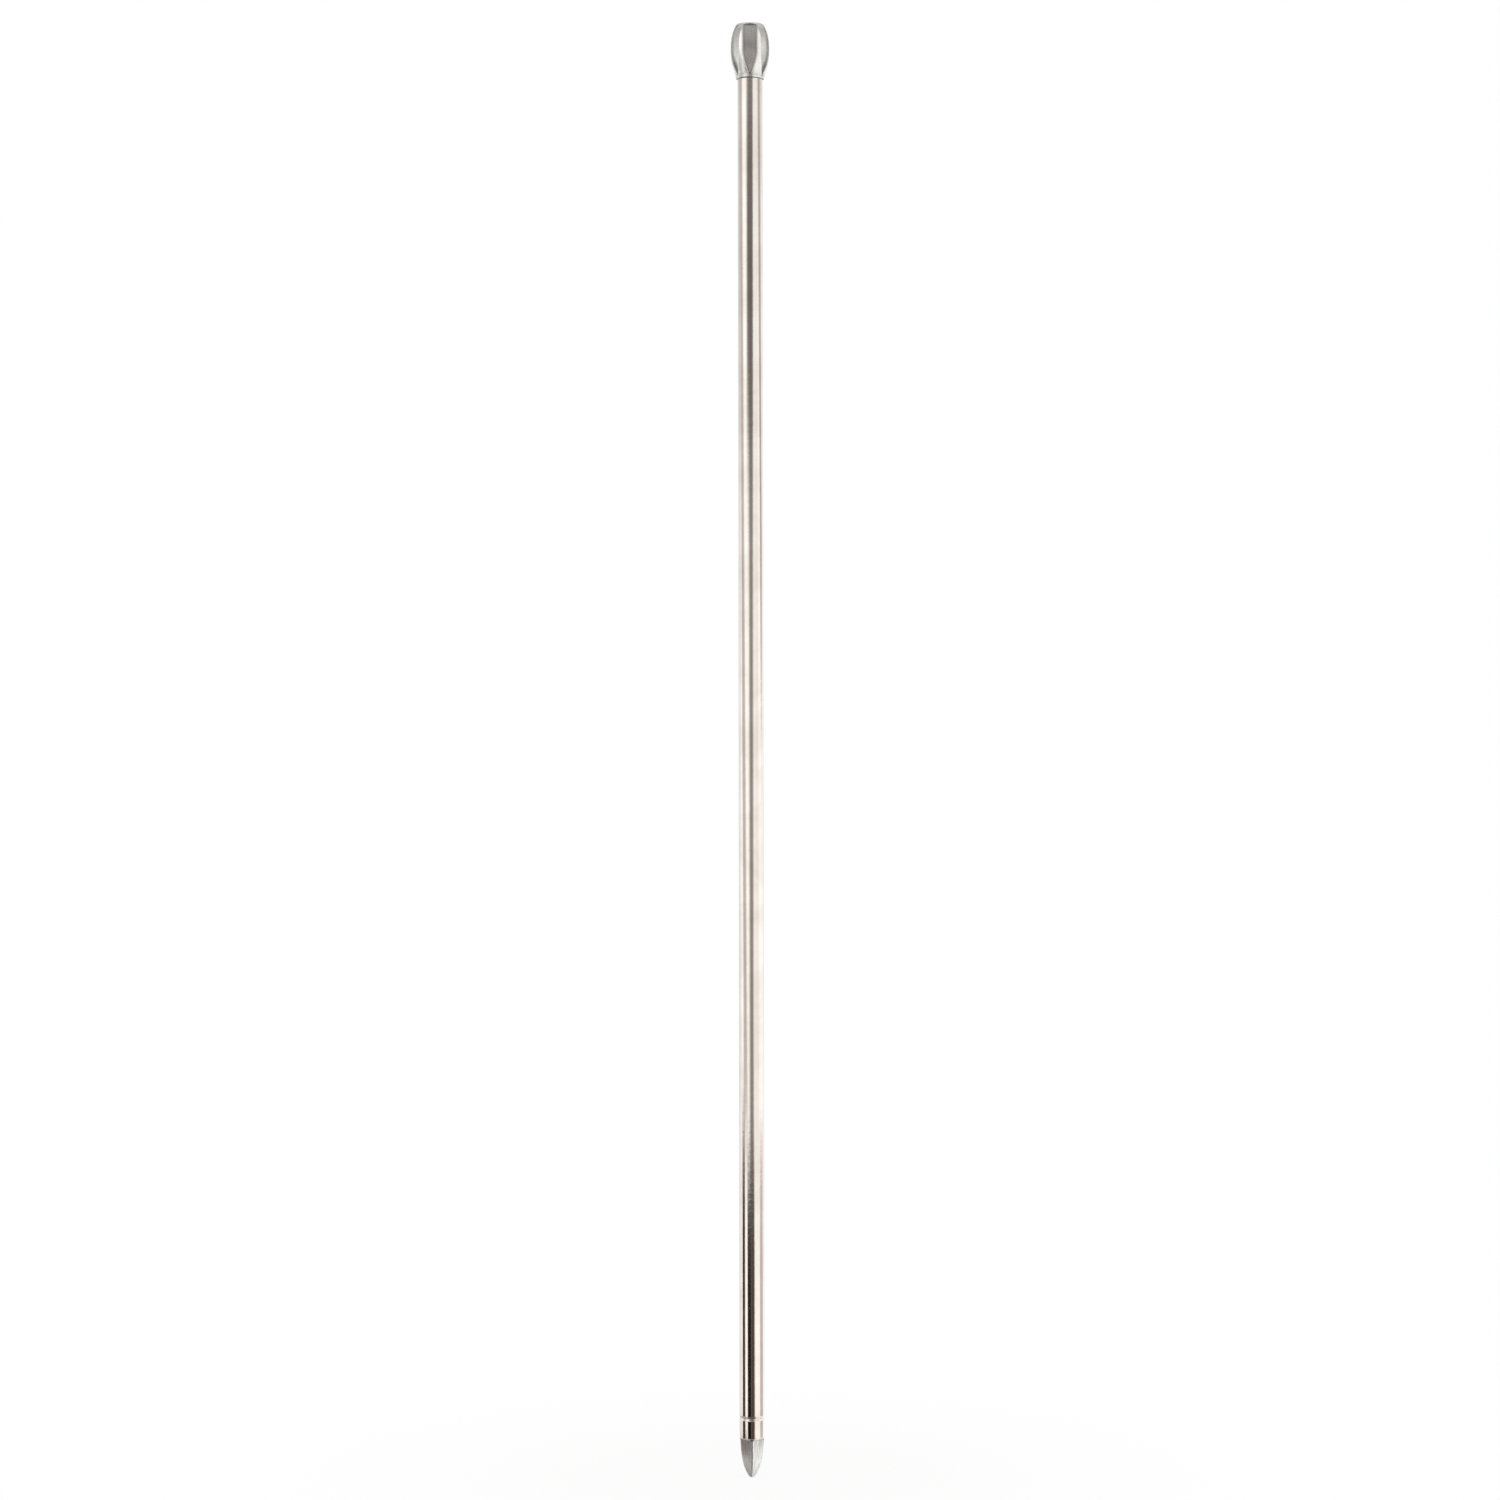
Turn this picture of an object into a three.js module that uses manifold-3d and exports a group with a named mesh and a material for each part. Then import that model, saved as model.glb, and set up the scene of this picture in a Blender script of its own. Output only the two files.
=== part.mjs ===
// A telescopic bank stick for fishing, drawn closed.
// Lengths are in millimetres. +Z runs up the stick, the origin is the tip of the point, and one
// leaf of the head faces -Y. The head, the inner tube and the lock under it draw out upwards.

import * as THREE from 'three';
import { mergeVertices } from 'three/addons/utils/BufferGeometryUtils.js';
import Module from 'manifold-3d';

const wasm = await Module();
wasm.setup();

const QUARTER_TURN = Math.PI / 2;
const FULL_TURN = 2 * Math.PI;

// The whole stick
const STICK_LENGTH = 750;
const FIT = 0.15; // gap between pieces that are fixed to each other
const RUNNING = 0.25; // gap round pieces that slide or turn
const EDGE = 0.3; // chamfer that breaks a plain edge
const OVERRUN = 0.5; // how far a cutter reaches past what it cuts

// Outer tube
const TUBE_DIAMETER = 12.7;
const TUBE_WALL = 0.8;
const TUBE_EDGE = 0.2;

// Inner tube, as wide as the bush lets it be
const INNER_WALL = 0.8;

// Groove rolled into a tube, which holds the spigot inside it
const ROLL_DEPTH = 0.3;
const ROLL_WIDTH = 2.6;
const ROLL_HEIGHT = 10.3; // from the tube's end to the middle of the groove

// Point
const POINT_LENGTH = 20.8;
const POINT_COLLAR = 0.6;
const POINT_INSET = 0.15; // how far the collar lies inside the tube's surface
const POINT_SPIGOT = 16;
const NOSE_RADIUS = 1.9; // where the blunt nose meets the ogive
const NOSE_HEIGHT = 1.2;
const FACE_SHARE = 0.76; // distance of a face from the axis, in radii of the ogive there
const LEDGE_RISE_SHARE = 0.3; // slope of the ledge over a face

// Head
const HEAD_HEIGHT = 28;
const HEAD_RADIUS = 10.05;
const HEAD_WIDEST = 15.3; // height of the widest place over the head's base
const BASE_RADIUS = 7.35;
const RIM_RADIUS = 7.35;
const HEAD_ROUND = 0.6; // radius of the head's two end edges
const CLOSED_GAP = 0.2; // from the tube's mouth to the head's base
const HEAD_SPIGOT = 16;

// Threaded socket in the head, made to the thread's full diameter
const SOCKET_DIAMETER = 9.6;
const SOCKET_DEPTH = 14;
const SOCKET_CHAMFER = 0.4;
const DRILL_TIP_RISE = 2.9;

// Leaf-shaped hollows round the head
const LEAF_COUNT = 6;
const LEAF_HALF_WIDTH = 3.3; // of its flat floor
const LEAF_TIP = 2; // height of the floor's pointed end over the head's base
const LEAF_SHOULDER = 14; // height where the floor reaches its full width
const LEAF_TOP = 26.7;
const LEAF_WAIST = 8.05; // distance of the floor from the axis at its fullest
const LEAF_WAIST_HEIGHT = 16;
const LEAF_FOOT_DEPTH = 6.35; // the same at the pointed end
const LEAF_HEAD_DEPTH = 6.25; // the same at the top
const LEAF_DRAFT = Math.PI / 6;

// Bush in the tube's mouth
const BUSH_LENGTH = 28;
const BUSH_WALL = 0.65;

// Lock at the inner tube's lower end
const ROOM_UNDER_LOCK = 29.3; // from the point's spigot to the stud, closed
const PLUG_SPIGOT = 16;
const PLUG_SHOULDER = 3;
const STUD_SHARE = 4 / 7.4; // of the inner tube's bore, an M4 stud in a 7.4 bore
const STUD_GRIP = 12; // length of stud held in the plug
const STUD_END = 0.7; // stud that shows past its nut
const EXPANDER_LENGTH = 18;
const EXPANDER_CROWN = 2.5; // thickness of its closed end
const EXPANDER_LIP = 1; // thickness at its open end
const EXPANDER_TAPER = 10.5; // length of its tapered bore
const EXPANDER_WAIST = 0.25; // depth between the grip rings
const GRIP_RINGS = 4;
const SLOT_WIDTH = 1.2;
const SLOT_WEB = 2; // solid left between the crown and the slots
const CONE_LENGTH = 9;
const CONE_PROUD = 1.5; // how far the cone stands out of the expander
const KEY_WIDTH = 0.7;
const KEY_INSET = 0.6; // from a key's end to the expander's outside
const CONE_WALL = 1; // from the stud to the narrow end of the taper
const CONE_SLACK = 0.5; // from the cone to its nut
const NUT_FLATS = 7;
const NUT_HEIGHT = 3.2;

// Smoothness
const TUBE_SIDES = 48;
const BARREL_SIDES = 60;
const SMALL_SIDES = 32;
const CURVE_STEPS = 8;
const ROLL_STEPS = 6;
const ROUND_STEPS = 3;
const LEAF_STEPS = 12;

// Sizes that follow
const tubeBore = TUBE_DIAMETER / 2 - TUBE_WALL;
const innerRadius = tubeBore - FIT - BUSH_WALL - RUNNING;
const innerBore = innerRadius - INNER_WALL;
const sleeveRadius = tubeBore - RUNNING;
const studRadius = innerBore * STUD_SHARE;
const taperNarrow = studRadius + CONE_WALL;
const taperWide = sleeveRadius - EXPANDER_LIP;
const headBase = STICK_LENGTH - HEAD_HEIGHT;
const mouth = headBase - CLOSED_GAP;
const innerTop = headBase - FIT;
const plugFoot = -FIT - PLUG_SHOULDER;
const expanderTop = plugFoot - RUNNING;
const expanderFoot = expanderTop - EXPANDER_LENGTH;
const coneFoot = expanderFoot - CONE_PROUD;
const nutTop = coneFoot - CONE_SLACK;
const nutFoot = nutTop - NUT_HEIGHT;
const studFoot = nutFoot - STUD_END;
const innerFoot = POINT_LENGTH + POINT_SPIGOT + ROOM_UNDER_LOCK - studFoot;

// Turns a closed geometry into a solid, once its shared corners are merged and the triangles that
// shrank to nothing on the axis are gone.
function solid(geometry) {
  const plain = geometry.clone();
  plain.deleteAttribute('normal');
  plain.deleteAttribute('uv');
  const merged = mergeVertices(plain);
  const corners = Array.from(merged.index.array);
  const kept = [];
  for (let i = 0; i < corners.length; i += 3) {
    const [a, b, c] = corners.slice(i, i + 3);
    if (a !== b && b !== c && c !== a) {
      kept.push(a, b, c);
    }
  }
  const mesh = new wasm.Mesh({
    numProp: 3,
    vertProperties: merged.attributes.position.array,
    triVerts: new Uint32Array(kept),
  });
  return new wasm.Manifold(mesh);
}

// Wraps a solid as a named mesh.
function piece(name, body, finish, height = 0) {
  const { vertProperties, triVerts } = body.getMesh();
  const shared = new THREE.BufferGeometry();
  shared.setAttribute('position', new THREE.BufferAttribute(vertProperties, 3));
  shared.setIndex(new THREE.BufferAttribute(triVerts, 1));
  const geometry = shared.toNonIndexed();
  geometry.computeVertexNormals();
  const mesh = new THREE.Mesh(geometry, new THREE.MeshStandardMaterial(finish));
  mesh.name = name;
  mesh.position.z = height;
  return mesh;
}

// Revolves an outline of [radius, height] corners, listed from the bottom up on the outside. The
// middle of a side, not a corner, faces -Y, so that cuts on the axes of the part meet no corners.
function turned(outline, sides) {
  const points = outline.map(([radius, height]) => new THREE.Vector2(radius, height));
  const lathe = new THREE.LatheGeometry(points, sides).rotateX(QUARTER_TURN);
  return solid(lathe.rotateZ(FULL_TURN / sides / 2));
}

// A plain upright cylinder between two heights.
function rod(radius, foot, top, sides) {
  return turned([[0, foot], [radius, foot], [radius, top], [0, top]], sides);
}

// An upright bar with its middle on the axis, turned about it by an angle.
function bar(length, width, foot, top, angle) {
  const box = new THREE.BoxGeometry(length, width, top - foot);
  return solid(box.translate(0, 0, (foot + top) / 2).rotateZ(angle));
}

// Corners of a straight wall that runs up between two heights, dipping at each rolled groove.
function rolledWall(radius, foot, top, rolls) {
  const wall = [[radius, foot]];
  for (const roll of rolls) {
    for (let step = 0; step <= ROLL_STEPS; step += 1) {
      const share = step / ROLL_STEPS;
      const dip = (ROLL_DEPTH / 2) * (1 - Math.cos(FULL_TURN * share));
      wall.push([radius - dip, roll + (share - 1 / 2) * ROLL_WIDTH]);
    }
  }
  wall.push([radius, top]);
  return wall;
}

// A drawn tube with rolled grooves; the wall keeps its thickness, so each groove shows inside too.
function tube(radius, wall, length, rolls) {
  const outside = rolledWall(radius, TUBE_EDGE, length - TUBE_EDGE, rolls);
  const inside = rolledWall(radius - wall, 0, length, rolls).reverse();
  const foot = [radius - TUBE_EDGE, 0];
  const top = [radius - TUBE_EDGE, length];
  return turned([foot, ...outside, top, ...inside, foot], TUBE_SIDES);
}

// Corners of a quarter round about a centre, from one angle to the next quarter.
function quarterRound(centreRadius, centreHeight, round, startAngle) {
  const corners = [];
  for (let step = 0; step <= ROUND_STEPS; step += 1) {
    const angle = startAngle + QUARTER_TURN * (step / ROUND_STEPS);
    corners.push([centreRadius + round * Math.cos(angle), centreHeight + round * Math.sin(angle)]);
  }
  return corners;
}

// Corners along a smooth curve with two handles, given as [radius, height] pairs.
function curve(start, startHandle, endHandle, end, steps = CURVE_STEPS) {
  const handles = [start, startHandle, endHandle, end].map((at) => new THREE.Vector2(...at));
  return new THREE.CubicBezierCurve(...handles).getPoints(steps).map((at) => [at.x, at.y]);
}

// Corners of the ogive from the nose up to the collar.
function ogive() {
  const collarRadius = TUBE_DIAMETER / 2 - POINT_INSET;
  const collarFoot = POINT_LENGTH - FIT - POINT_COLLAR;
  const noseHandleShares = [0.8, 0.3];
  const collarHandleShares = [0.93, 0.66];
  return curve(
    [NOSE_RADIUS, NOSE_HEIGHT],
    [collarRadius * noseHandleShares[0], collarFoot * noseHandleShares[1]],
    [collarRadius * collarHandleShares[0], collarFoot * collarHandleShares[1]],
    [collarRadius, collarFoot],
  );
}

// Corners of the blunt nose, an arc from the tip that meets the ogive.
function nose() {
  const round = (NOSE_RADIUS ** 2 + NOSE_HEIGHT ** 2) / (2 * NOSE_HEIGHT);
  const sweep = Math.asin(NOSE_RADIUS / round);
  const corners = [];
  for (let step = 0; step < ROUND_STEPS; step += 1) {
    const angle = sweep * (step / ROUND_STEPS);
    corners.push([round * Math.sin(angle), round * (1 - Math.cos(angle))]);
  }
  return corners;
}

// A slab with two ogive faces, open above the ledge so that it leaves the collar whole.
function facedSlab(angle) {
  const faces = [...nose(), ...ogive()].map(([radius, height]) => [radius * FACE_SHARE, height]);
  const [faceRadius, faceTop] = faces[faces.length - 1];
  const reach = TUBE_DIAMETER / 2 + OVERRUN;
  const ledgeTop = faceTop + (reach - faceRadius) * LEDGE_RISE_SHARE;
  const spigotTop = POINT_LENGTH + POINT_SPIGOT + OVERRUN;
  const half = [...faces, [reach, ledgeTop], [reach, spigotTop]];
  const mirrored = half.slice(1).reverse().map(([radius, height]) => [-radius, height]);
  const outline = new THREE.Shape([...half, ...mirrored].map((at) => new THREE.Vector2(...at)));
  const extrusion = new THREE.ExtrudeGeometry(outline, { depth: 2 * reach, bevelEnabled: false });
  return solid(extrusion.translate(0, 0, -reach).rotateX(QUARTER_TURN).rotateZ(angle));
}

// The cast point: a four-faced ogive under a round collar, and the spigot that goes up the tube.
function drivePoint() {
  const collarRadius = TUBE_DIAMETER / 2 - POINT_INSET;
  const spigotRadius = tubeBore - FIT;
  const spigotTop = POINT_LENGTH + POINT_SPIGOT;
  const shoulder = POINT_LENGTH - FIT;
  const roll = POINT_LENGTH + ROLL_HEIGHT;
  const round = turned([
    ...nose(),
    ...ogive(),
    [collarRadius, shoulder],
    ...rolledWall(spigotRadius, shoulder, spigotTop - EDGE, [roll]),
    [spigotRadius - EDGE, spigotTop],
    [0, spigotTop],
  ], TUBE_SIDES);
  return round.intersect(facedSlab(QUARTER_TURN / 2)).intersect(facedSlab(-QUARTER_TURN / 2));
}

// Corners of the head's barrel from its base up to its rim.
function barrel() {
  const belly = HEAD_HEIGHT - HEAD_WIDEST;
  const lowHandleShares = [0.2, 0.56];
  const highHandleShares = [0.5, 0.28];
  const rimFallShare = 0.62;
  const rimHandle = RIM_RADIUS + (HEAD_RADIUS - RIM_RADIUS) * rimFallShare;
  return [
    ...quarterRound(BASE_RADIUS - HEAD_ROUND, HEAD_ROUND, HEAD_ROUND, -QUARTER_TURN).slice(0, -1),
    ...curve(
      [BASE_RADIUS, HEAD_ROUND],
      [BASE_RADIUS, HEAD_WIDEST * lowHandleShares[0]],
      [HEAD_RADIUS, HEAD_WIDEST * lowHandleShares[1]],
      [HEAD_RADIUS, HEAD_WIDEST],
    ).slice(0, -1),
    ...curve(
      [HEAD_RADIUS, HEAD_WIDEST],
      [HEAD_RADIUS, HEAD_WIDEST + belly * highHandleShares[0]],
      [rimHandle, HEAD_HEIGHT - belly * highHandleShares[1]],
      [RIM_RADIUS, HEAD_HEIGHT - HEAD_ROUND],
    ).slice(0, -1),
    ...quarterRound(RIM_RADIUS - HEAD_ROUND, HEAD_HEIGHT - HEAD_ROUND, HEAD_ROUND, 0),
  ];
}

// Rows of a leaf's floor from its pointed end up, as [half width, distance from the axis, height].
function leafFloor() {
  const rise = LEAF_WAIST_HEIGHT - LEAF_TIP;
  const fall = LEAF_TOP - LEAF_WAIST_HEIGHT;
  const footHandleShares = [0.35, 0.45];
  const topHandleShares = [0.4, 0.42];
  const topHandle = LEAF_HEAD_DEPTH + (LEAF_WAIST - LEAF_HEAD_DEPTH) * 0.6;
  const line = [
    ...curve(
      [LEAF_FOOT_DEPTH, LEAF_TIP],
      [LEAF_FOOT_DEPTH, LEAF_TIP + rise * footHandleShares[0]],
      [LEAF_WAIST, LEAF_WAIST_HEIGHT - rise * footHandleShares[1]],
      [LEAF_WAIST, LEAF_WAIST_HEIGHT],
      LEAF_STEPS / 2,
    ).slice(0, -1),
    ...curve(
      [LEAF_WAIST, LEAF_WAIST_HEIGHT],
      [LEAF_WAIST, LEAF_WAIST_HEIGHT + fall * topHandleShares[0]],
      [topHandle, LEAF_TOP - fall * topHandleShares[1]],
      [LEAF_HEAD_DEPTH, LEAF_TOP],
      LEAF_STEPS / 2,
    ),
  ];
  return line.map(([depth, height]) => {
    const share = Math.min(1, (height - LEAF_TIP) / (LEAF_SHOULDER - LEAF_TIP));
    return [LEAF_HALF_WIDTH * Math.sin(QUARTER_TURN * share), depth, height];
  });
}

// The cutter for one leaf: a flat-floored hollow whose walls lean outwards by the draft angle all
// the way round, pointed at its foot and square at its top.
function leafCutter(angle) {
  const reach = HEAD_RADIUS + OVERRUN;
  const lean = Math.tan(LEAF_DRAFT);
  const floor = leafFloor();
  const corners = [];
  for (const [row, [halfWidth, depth, height]] of floor.entries()) {
    const spread = (reach - depth) * lean;
    const outerHeight = row === floor.length - 1 ? height + spread : height;
    corners.push(halfWidth, -depth, height);
    corners.push(-halfWidth, -depth, height);
    corners.push(-halfWidth - spread, -reach, outerHeight);
    corners.push(halfWidth + spread, -reach, outerHeight);
  }
  const [, tipDepth, tipHeight] = floor[0];
  const apex = corners.length / 3;
  corners.push(0, -reach, tipHeight - (reach - tipDepth) * lean);
  const triangles = [];
  for (let row = 0; row + 1 < floor.length; row += 1) {
    for (let side = 0; side < 4; side += 1) {
      const near = 4 * row + side;
      const next = 4 * row + ((side + 1) % 4);
      triangles.push(near, next, next + 4, near, next + 4, near + 4);
    }
  }
  triangles.push(apex, 1, 0, apex, 2, 1, apex, 3, 2, apex, 0, 3);
  const last = 4 * (floor.length - 1);
  triangles.push(last, last + 1, last + 2, last, last + 2, last + 3);
  const geometry = new THREE.BufferGeometry();
  geometry.setAttribute('position', new THREE.Float32BufferAttribute(corners, 3));
  geometry.setIndex(triangles);
  return solid(geometry.rotateZ(angle));
}

// The cast head: barrel, leaves, socket for the thread, and the spigot that goes down the tube.
function head() {
  const spigotRadius = innerBore - FIT;
  const socket = SOCKET_DIAMETER / 2;
  const socketFloor = HEAD_HEIGHT - SOCKET_DEPTH;
  const roll = -FIT - ROLL_HEIGHT;
  let body = turned([
    [0, -HEAD_SPIGOT],
    [spigotRadius - EDGE, -HEAD_SPIGOT],
    ...rolledWall(spigotRadius, EDGE - HEAD_SPIGOT, 0, [roll]),
    ...barrel(),
    [socket + SOCKET_CHAMFER, HEAD_HEIGHT],
    [socket, HEAD_HEIGHT - SOCKET_CHAMFER],
    [socket, socketFloor],
    [0, socketFloor - DRILL_TIP_RISE],
  ], BARREL_SIDES);
  for (let leaf = 0; leaf < LEAF_COUNT; leaf += 1) {
    body = body.subtract(leafCutter(FULL_TURN * (leaf / LEAF_COUNT)));
  }
  return body;
}

// The bush pressed into the tube's mouth, which the inner tube runs in.
function guideBush() {
  const outer = tubeBore - FIT;
  const bore = innerRadius + RUNNING;
  const foot = [outer - EDGE, 0];
  return turned([
    foot,
    [outer, EDGE],
    [outer, BUSH_LENGTH],
    [bore + EDGE, BUSH_LENGTH],
    [bore, BUSH_LENGTH - EDGE],
    [bore, 0],
    foot,
  ], TUBE_SIDES);
}

// The plug in the inner tube's end: a spigot, the shoulder that meets the bush, and the stud's hole.
function lockPlug() {
  const shoulder = sleeveRadius;
  const spigotRadius = innerBore - FIT;
  const hole = studRadius + FIT;
  return turned([
    [hole, plugFoot],
    [shoulder - EDGE, plugFoot],
    [shoulder, plugFoot + EDGE],
    [shoulder, -FIT],
    ...rolledWall(spigotRadius, -FIT, PLUG_SPIGOT - EDGE, [ROLL_HEIGHT]),
    [spigotRadius - EDGE, PLUG_SPIGOT],
    [0, PLUG_SPIGOT],
    [0, plugFoot + STUD_GRIP + FIT],
    [hole, plugFoot + STUD_GRIP + FIT],
    [hole, plugFoot],
  ], TUBE_SIDES);
}

// The stud that the plug holds and the cone nut runs on.
function lockStud() {
  const top = plugFoot + STUD_GRIP;
  return turned([
    [0, studFoot],
    [studRadius - EDGE, studFoot],
    [studRadius, studFoot + EDGE],
    [studRadius, top],
    [0, top],
  ], SMALL_SIDES);
}

// Radius of the expander's tapered bore at a height under the inner tube's end.
function taperRadius(height) {
  const share = (height - expanderFoot) / EXPANDER_TAPER;
  return taperWide + (taperNarrow - taperWide) * share;
}

// The slotted sleeve that drags on the outer tube's bore, with grip rings round its outside.
function expander() {
  const outer = sleeveRadius;
  const hole = studRadius + RUNNING;
  const crownFoot = expanderTop - EXPANDER_CROWN;
  const pitch = EXPANDER_LENGTH / GRIP_RINGS;
  const rings = [];
  for (let ring = 0; ring < GRIP_RINGS; ring += 1) {
    const foot = expanderFoot + ring * pitch;
    rings.push([outer, foot], [outer, foot + pitch / 2]);
    rings.push([outer - EXPANDER_WAIST, foot + pitch / 2 + EXPANDER_WAIST]);
    rings.push([outer - EXPANDER_WAIST, foot + pitch - EXPANDER_WAIST]);
  }
  const mouth = [taperRadius(expanderFoot), expanderFoot];
  const sleeve = turned([
    mouth,
    ...rings,
    [outer - EXPANDER_WAIST, expanderTop],
    [hole, expanderTop],
    [hole, crownFoot],
    [taperNarrow, crownFoot],
    [taperNarrow, expanderFoot + EXPANDER_TAPER],
    mouth,
  ], SMALL_SIDES);
  const span = 2 * (outer + OVERRUN);
  const foot = expanderFoot - OVERRUN;
  const slotTop = crownFoot - SLOT_WEB;
  return sleeve
    .subtract(bar(span, SLOT_WIDTH, foot, slotTop, 0))
    .subtract(bar(span, SLOT_WIDTH, foot, slotTop, QUARTER_TURN));
}

// The tapered nut, with keys that run in the expander's slots.
function coneNut() {
  const top = coneFoot + CONE_LENGTH;
  const cone = turned([
    [0, coneFoot],
    [taperRadius(expanderFoot) - RUNNING, coneFoot],
    [taperRadius(expanderFoot) - RUNNING, expanderFoot],
    [taperRadius(top) - RUNNING, top],
    [0, top],
  ], SMALL_SIDES);
  const hole = rod(studRadius + FIT, coneFoot - OVERRUN, top + OVERRUN, SMALL_SIDES);
  const keyTop = expanderFoot + CONE_LENGTH / 2;
  const keySpan = 2 * (sleeveRadius - KEY_INSET);
  return cone
    .add(bar(keySpan, KEY_WIDTH, coneFoot, keyTop, 0))
    .add(bar(keySpan, KEY_WIDTH, coneFoot, keyTop, QUARTER_TURN))
    .subtract(hole);
}

// The hexagon nut that keeps the cone on the stud.
function stopNut() {
  const corners = 6;
  const cornerRadius = NUT_FLATS / 2 / Math.cos(Math.PI / corners);
  const hole = rod(studRadius + FIT, nutFoot - OVERRUN, nutTop + OVERRUN, SMALL_SIDES);
  return rod(cornerRadius, nutFoot, nutTop, corners).subtract(hole);
}

// Finishes
const nickelPlate = { color: 0xb8b0a8, roughness: 0.18, metalness: 1 };
const castZinc = { color: 0xa3a19c, roughness: 0.42, metalness: 1 };
const acetal = { color: 0x26272a, roughness: 0.5, metalness: 0 };
const nylon = { color: 0xd9d4c6, roughness: 0.55, metalness: 0 };
const zincPlatedSteel = { color: 0xb9bcc0, roughness: 0.3, metalness: 1 };
const brass = { color: 0xc49a4a, roughness: 0.3, metalness: 1 };

// The fixed half stands in the bank: tube, point and bush.
const fixedHalf = new THREE.Group();
const outerTube = tube(TUBE_DIAMETER / 2, TUBE_WALL, mouth - POINT_LENGTH, [ROLL_HEIGHT]);
fixedHalf.add(
  piece('outer_tube', outerTube, nickelPlate, POINT_LENGTH),
  piece('drive_point', drivePoint(), castZinc),
  piece('guide_bush', guideBush(), acetal, mouth - FIT - BUSH_LENGTH),
);

// The lock hangs under the inner tube's lower end.
const lock = new THREE.Group();
lock.position.z = innerFoot;
lock.add(
  piece('lock_plug', lockPlug(), acetal),
  piece('lock_stud', lockStud(), zincPlatedSteel),
  piece('expander', expander(), nylon),
  piece('cone_nut', coneNut(), brass),
  piece('stop_nut', stopNut(), zincPlatedSteel),
);

// The drawn half slides out of the tube: head, inner tube and lock.
const drawnHalf = new THREE.Group();
const innerLength = innerTop - innerFoot;
const innerRolls = [ROLL_HEIGHT, innerLength - ROLL_HEIGHT];
const innerTube = tube(innerRadius, INNER_WALL, innerLength, innerRolls);
drawnHalf.add(
  piece('head', head(), castZinc, headBase),
  piece('inner_tube', innerTube, nickelPlate, innerFoot),
  lock,
);

const bankStick = new THREE.Group();
bankStick.add(fixedHalf, drawnHalf);

export default bankStick;
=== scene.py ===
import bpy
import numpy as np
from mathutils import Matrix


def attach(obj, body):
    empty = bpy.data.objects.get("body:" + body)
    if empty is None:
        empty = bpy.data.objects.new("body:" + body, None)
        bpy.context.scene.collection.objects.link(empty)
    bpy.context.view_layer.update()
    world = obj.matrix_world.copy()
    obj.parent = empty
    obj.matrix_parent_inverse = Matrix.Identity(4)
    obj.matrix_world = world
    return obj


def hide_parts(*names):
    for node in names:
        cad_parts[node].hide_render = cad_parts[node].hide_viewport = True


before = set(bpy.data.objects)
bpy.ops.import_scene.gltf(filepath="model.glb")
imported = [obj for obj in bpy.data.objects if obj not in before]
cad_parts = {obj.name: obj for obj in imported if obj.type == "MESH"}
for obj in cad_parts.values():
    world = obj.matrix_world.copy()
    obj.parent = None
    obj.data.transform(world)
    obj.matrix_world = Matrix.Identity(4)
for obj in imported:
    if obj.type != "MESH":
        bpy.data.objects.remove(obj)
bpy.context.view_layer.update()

# %% [markdown]
# # A telescopic bank stick
#
# A bank stick stands in a river bank and holds a rod rest. This one is two plated tubes, one
# inside the other, with a cast head on the inner tube and a cast point in the outer one. The lesson
# makes each casting as one surface given by a formula, each turned piece by spinning a rounded
# outline, and then the plated and cast finishes.

MM = 0.001
NEAR_AXIS = 0.01  # a closed end stops this close to the axis, in millimetres like all shapes here
scene = bpy.context.scene

# %% [markdown]
# ## From formulas to meshes
#
# A surface here is a grid of points. Its rows run along the piece and its columns go round the
# axis, so one array holds all the points and another all the faces. A turned piece could be made
# with a modifier, but an array lets the same outline be rounded, grooved or threaded by formula,
# and it carries a value at every point that darkens or lightens the finish: mostly painted shade,
# and a painted highlight on the point's collar.


# %% Grid surfaces
def grid_faces(rows, columns, start=0):
    """Corners of the faces between neighbouring rows of a grid whose columns close in a ring.

    Point (i, j) has the number start + i * columns + j. Face (i, j) joins row i to row i + 1 and
    column j to column j + 1, counted round the ring.
    """
    row = np.arange(rows - 1)[:, None] * columns
    here = np.arange(columns)[None, :]
    after = (here + 1) % columns
    faces = np.stack([row + here, row + after, row + columns + after, row + columns + here], -1)
    return start + faces.reshape(-1, 4)


def add_surface(name, grids, body, node=None):
    """Makes one smooth-shaded object from several grids of points in millimetres.

    Each grid is (points, values): points has the shape rows x columns x 3 and values, of the shape
    rows x columns, is kept on the mesh as an attribute: 1 darkens the finish fully, mostly as
    painted shade, and -1 lightens it, as a painted highlight on the point's collar and lighter lands.
    """
    start, points, faces, light_and_tone = 0, [], [], []
    for grid, values in grids:
        rows, columns = grid.shape[:2]
        points.append(grid.reshape(-1, 3) * MM)
        faces.append(grid_faces(rows, columns, start))
        light_and_tone.append(np.broadcast_to(values, (rows, columns)).reshape(-1))
        start += rows * columns
    points, faces, light_and_tone = np.concatenate(points), np.concatenate(faces), np.concatenate(light_and_tone)
    mesh = bpy.data.meshes.new(name)
    mesh.from_pydata(points, [], faces)
    mesh.polygons.foreach_set("use_smooth", np.ones(len(faces), bool))
    mesh.attributes.new("light_and_tone", "FLOAT", "POINT").data.foreach_set("value", light_and_tone.astype(np.float32))
    piece = bpy.data.objects.new(name, mesh)
    scene.collection.objects.link(piece)
    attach(piece, body)
    if node:
        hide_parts(node)
    return piece


print("A grid of 3 rows and 4 columns has", len(grid_faces(3, 4)), "faces")

# %% [markdown]
# ## Rounded outlines
#
# No edge of a real piece is perfectly sharp, and it is the small rounding that catches the light. A
# Bevel modifier could round the edges afterwards. Here the outline is rounded before it is spun,
# which costs little and can't fail on a thin wall.


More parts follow.
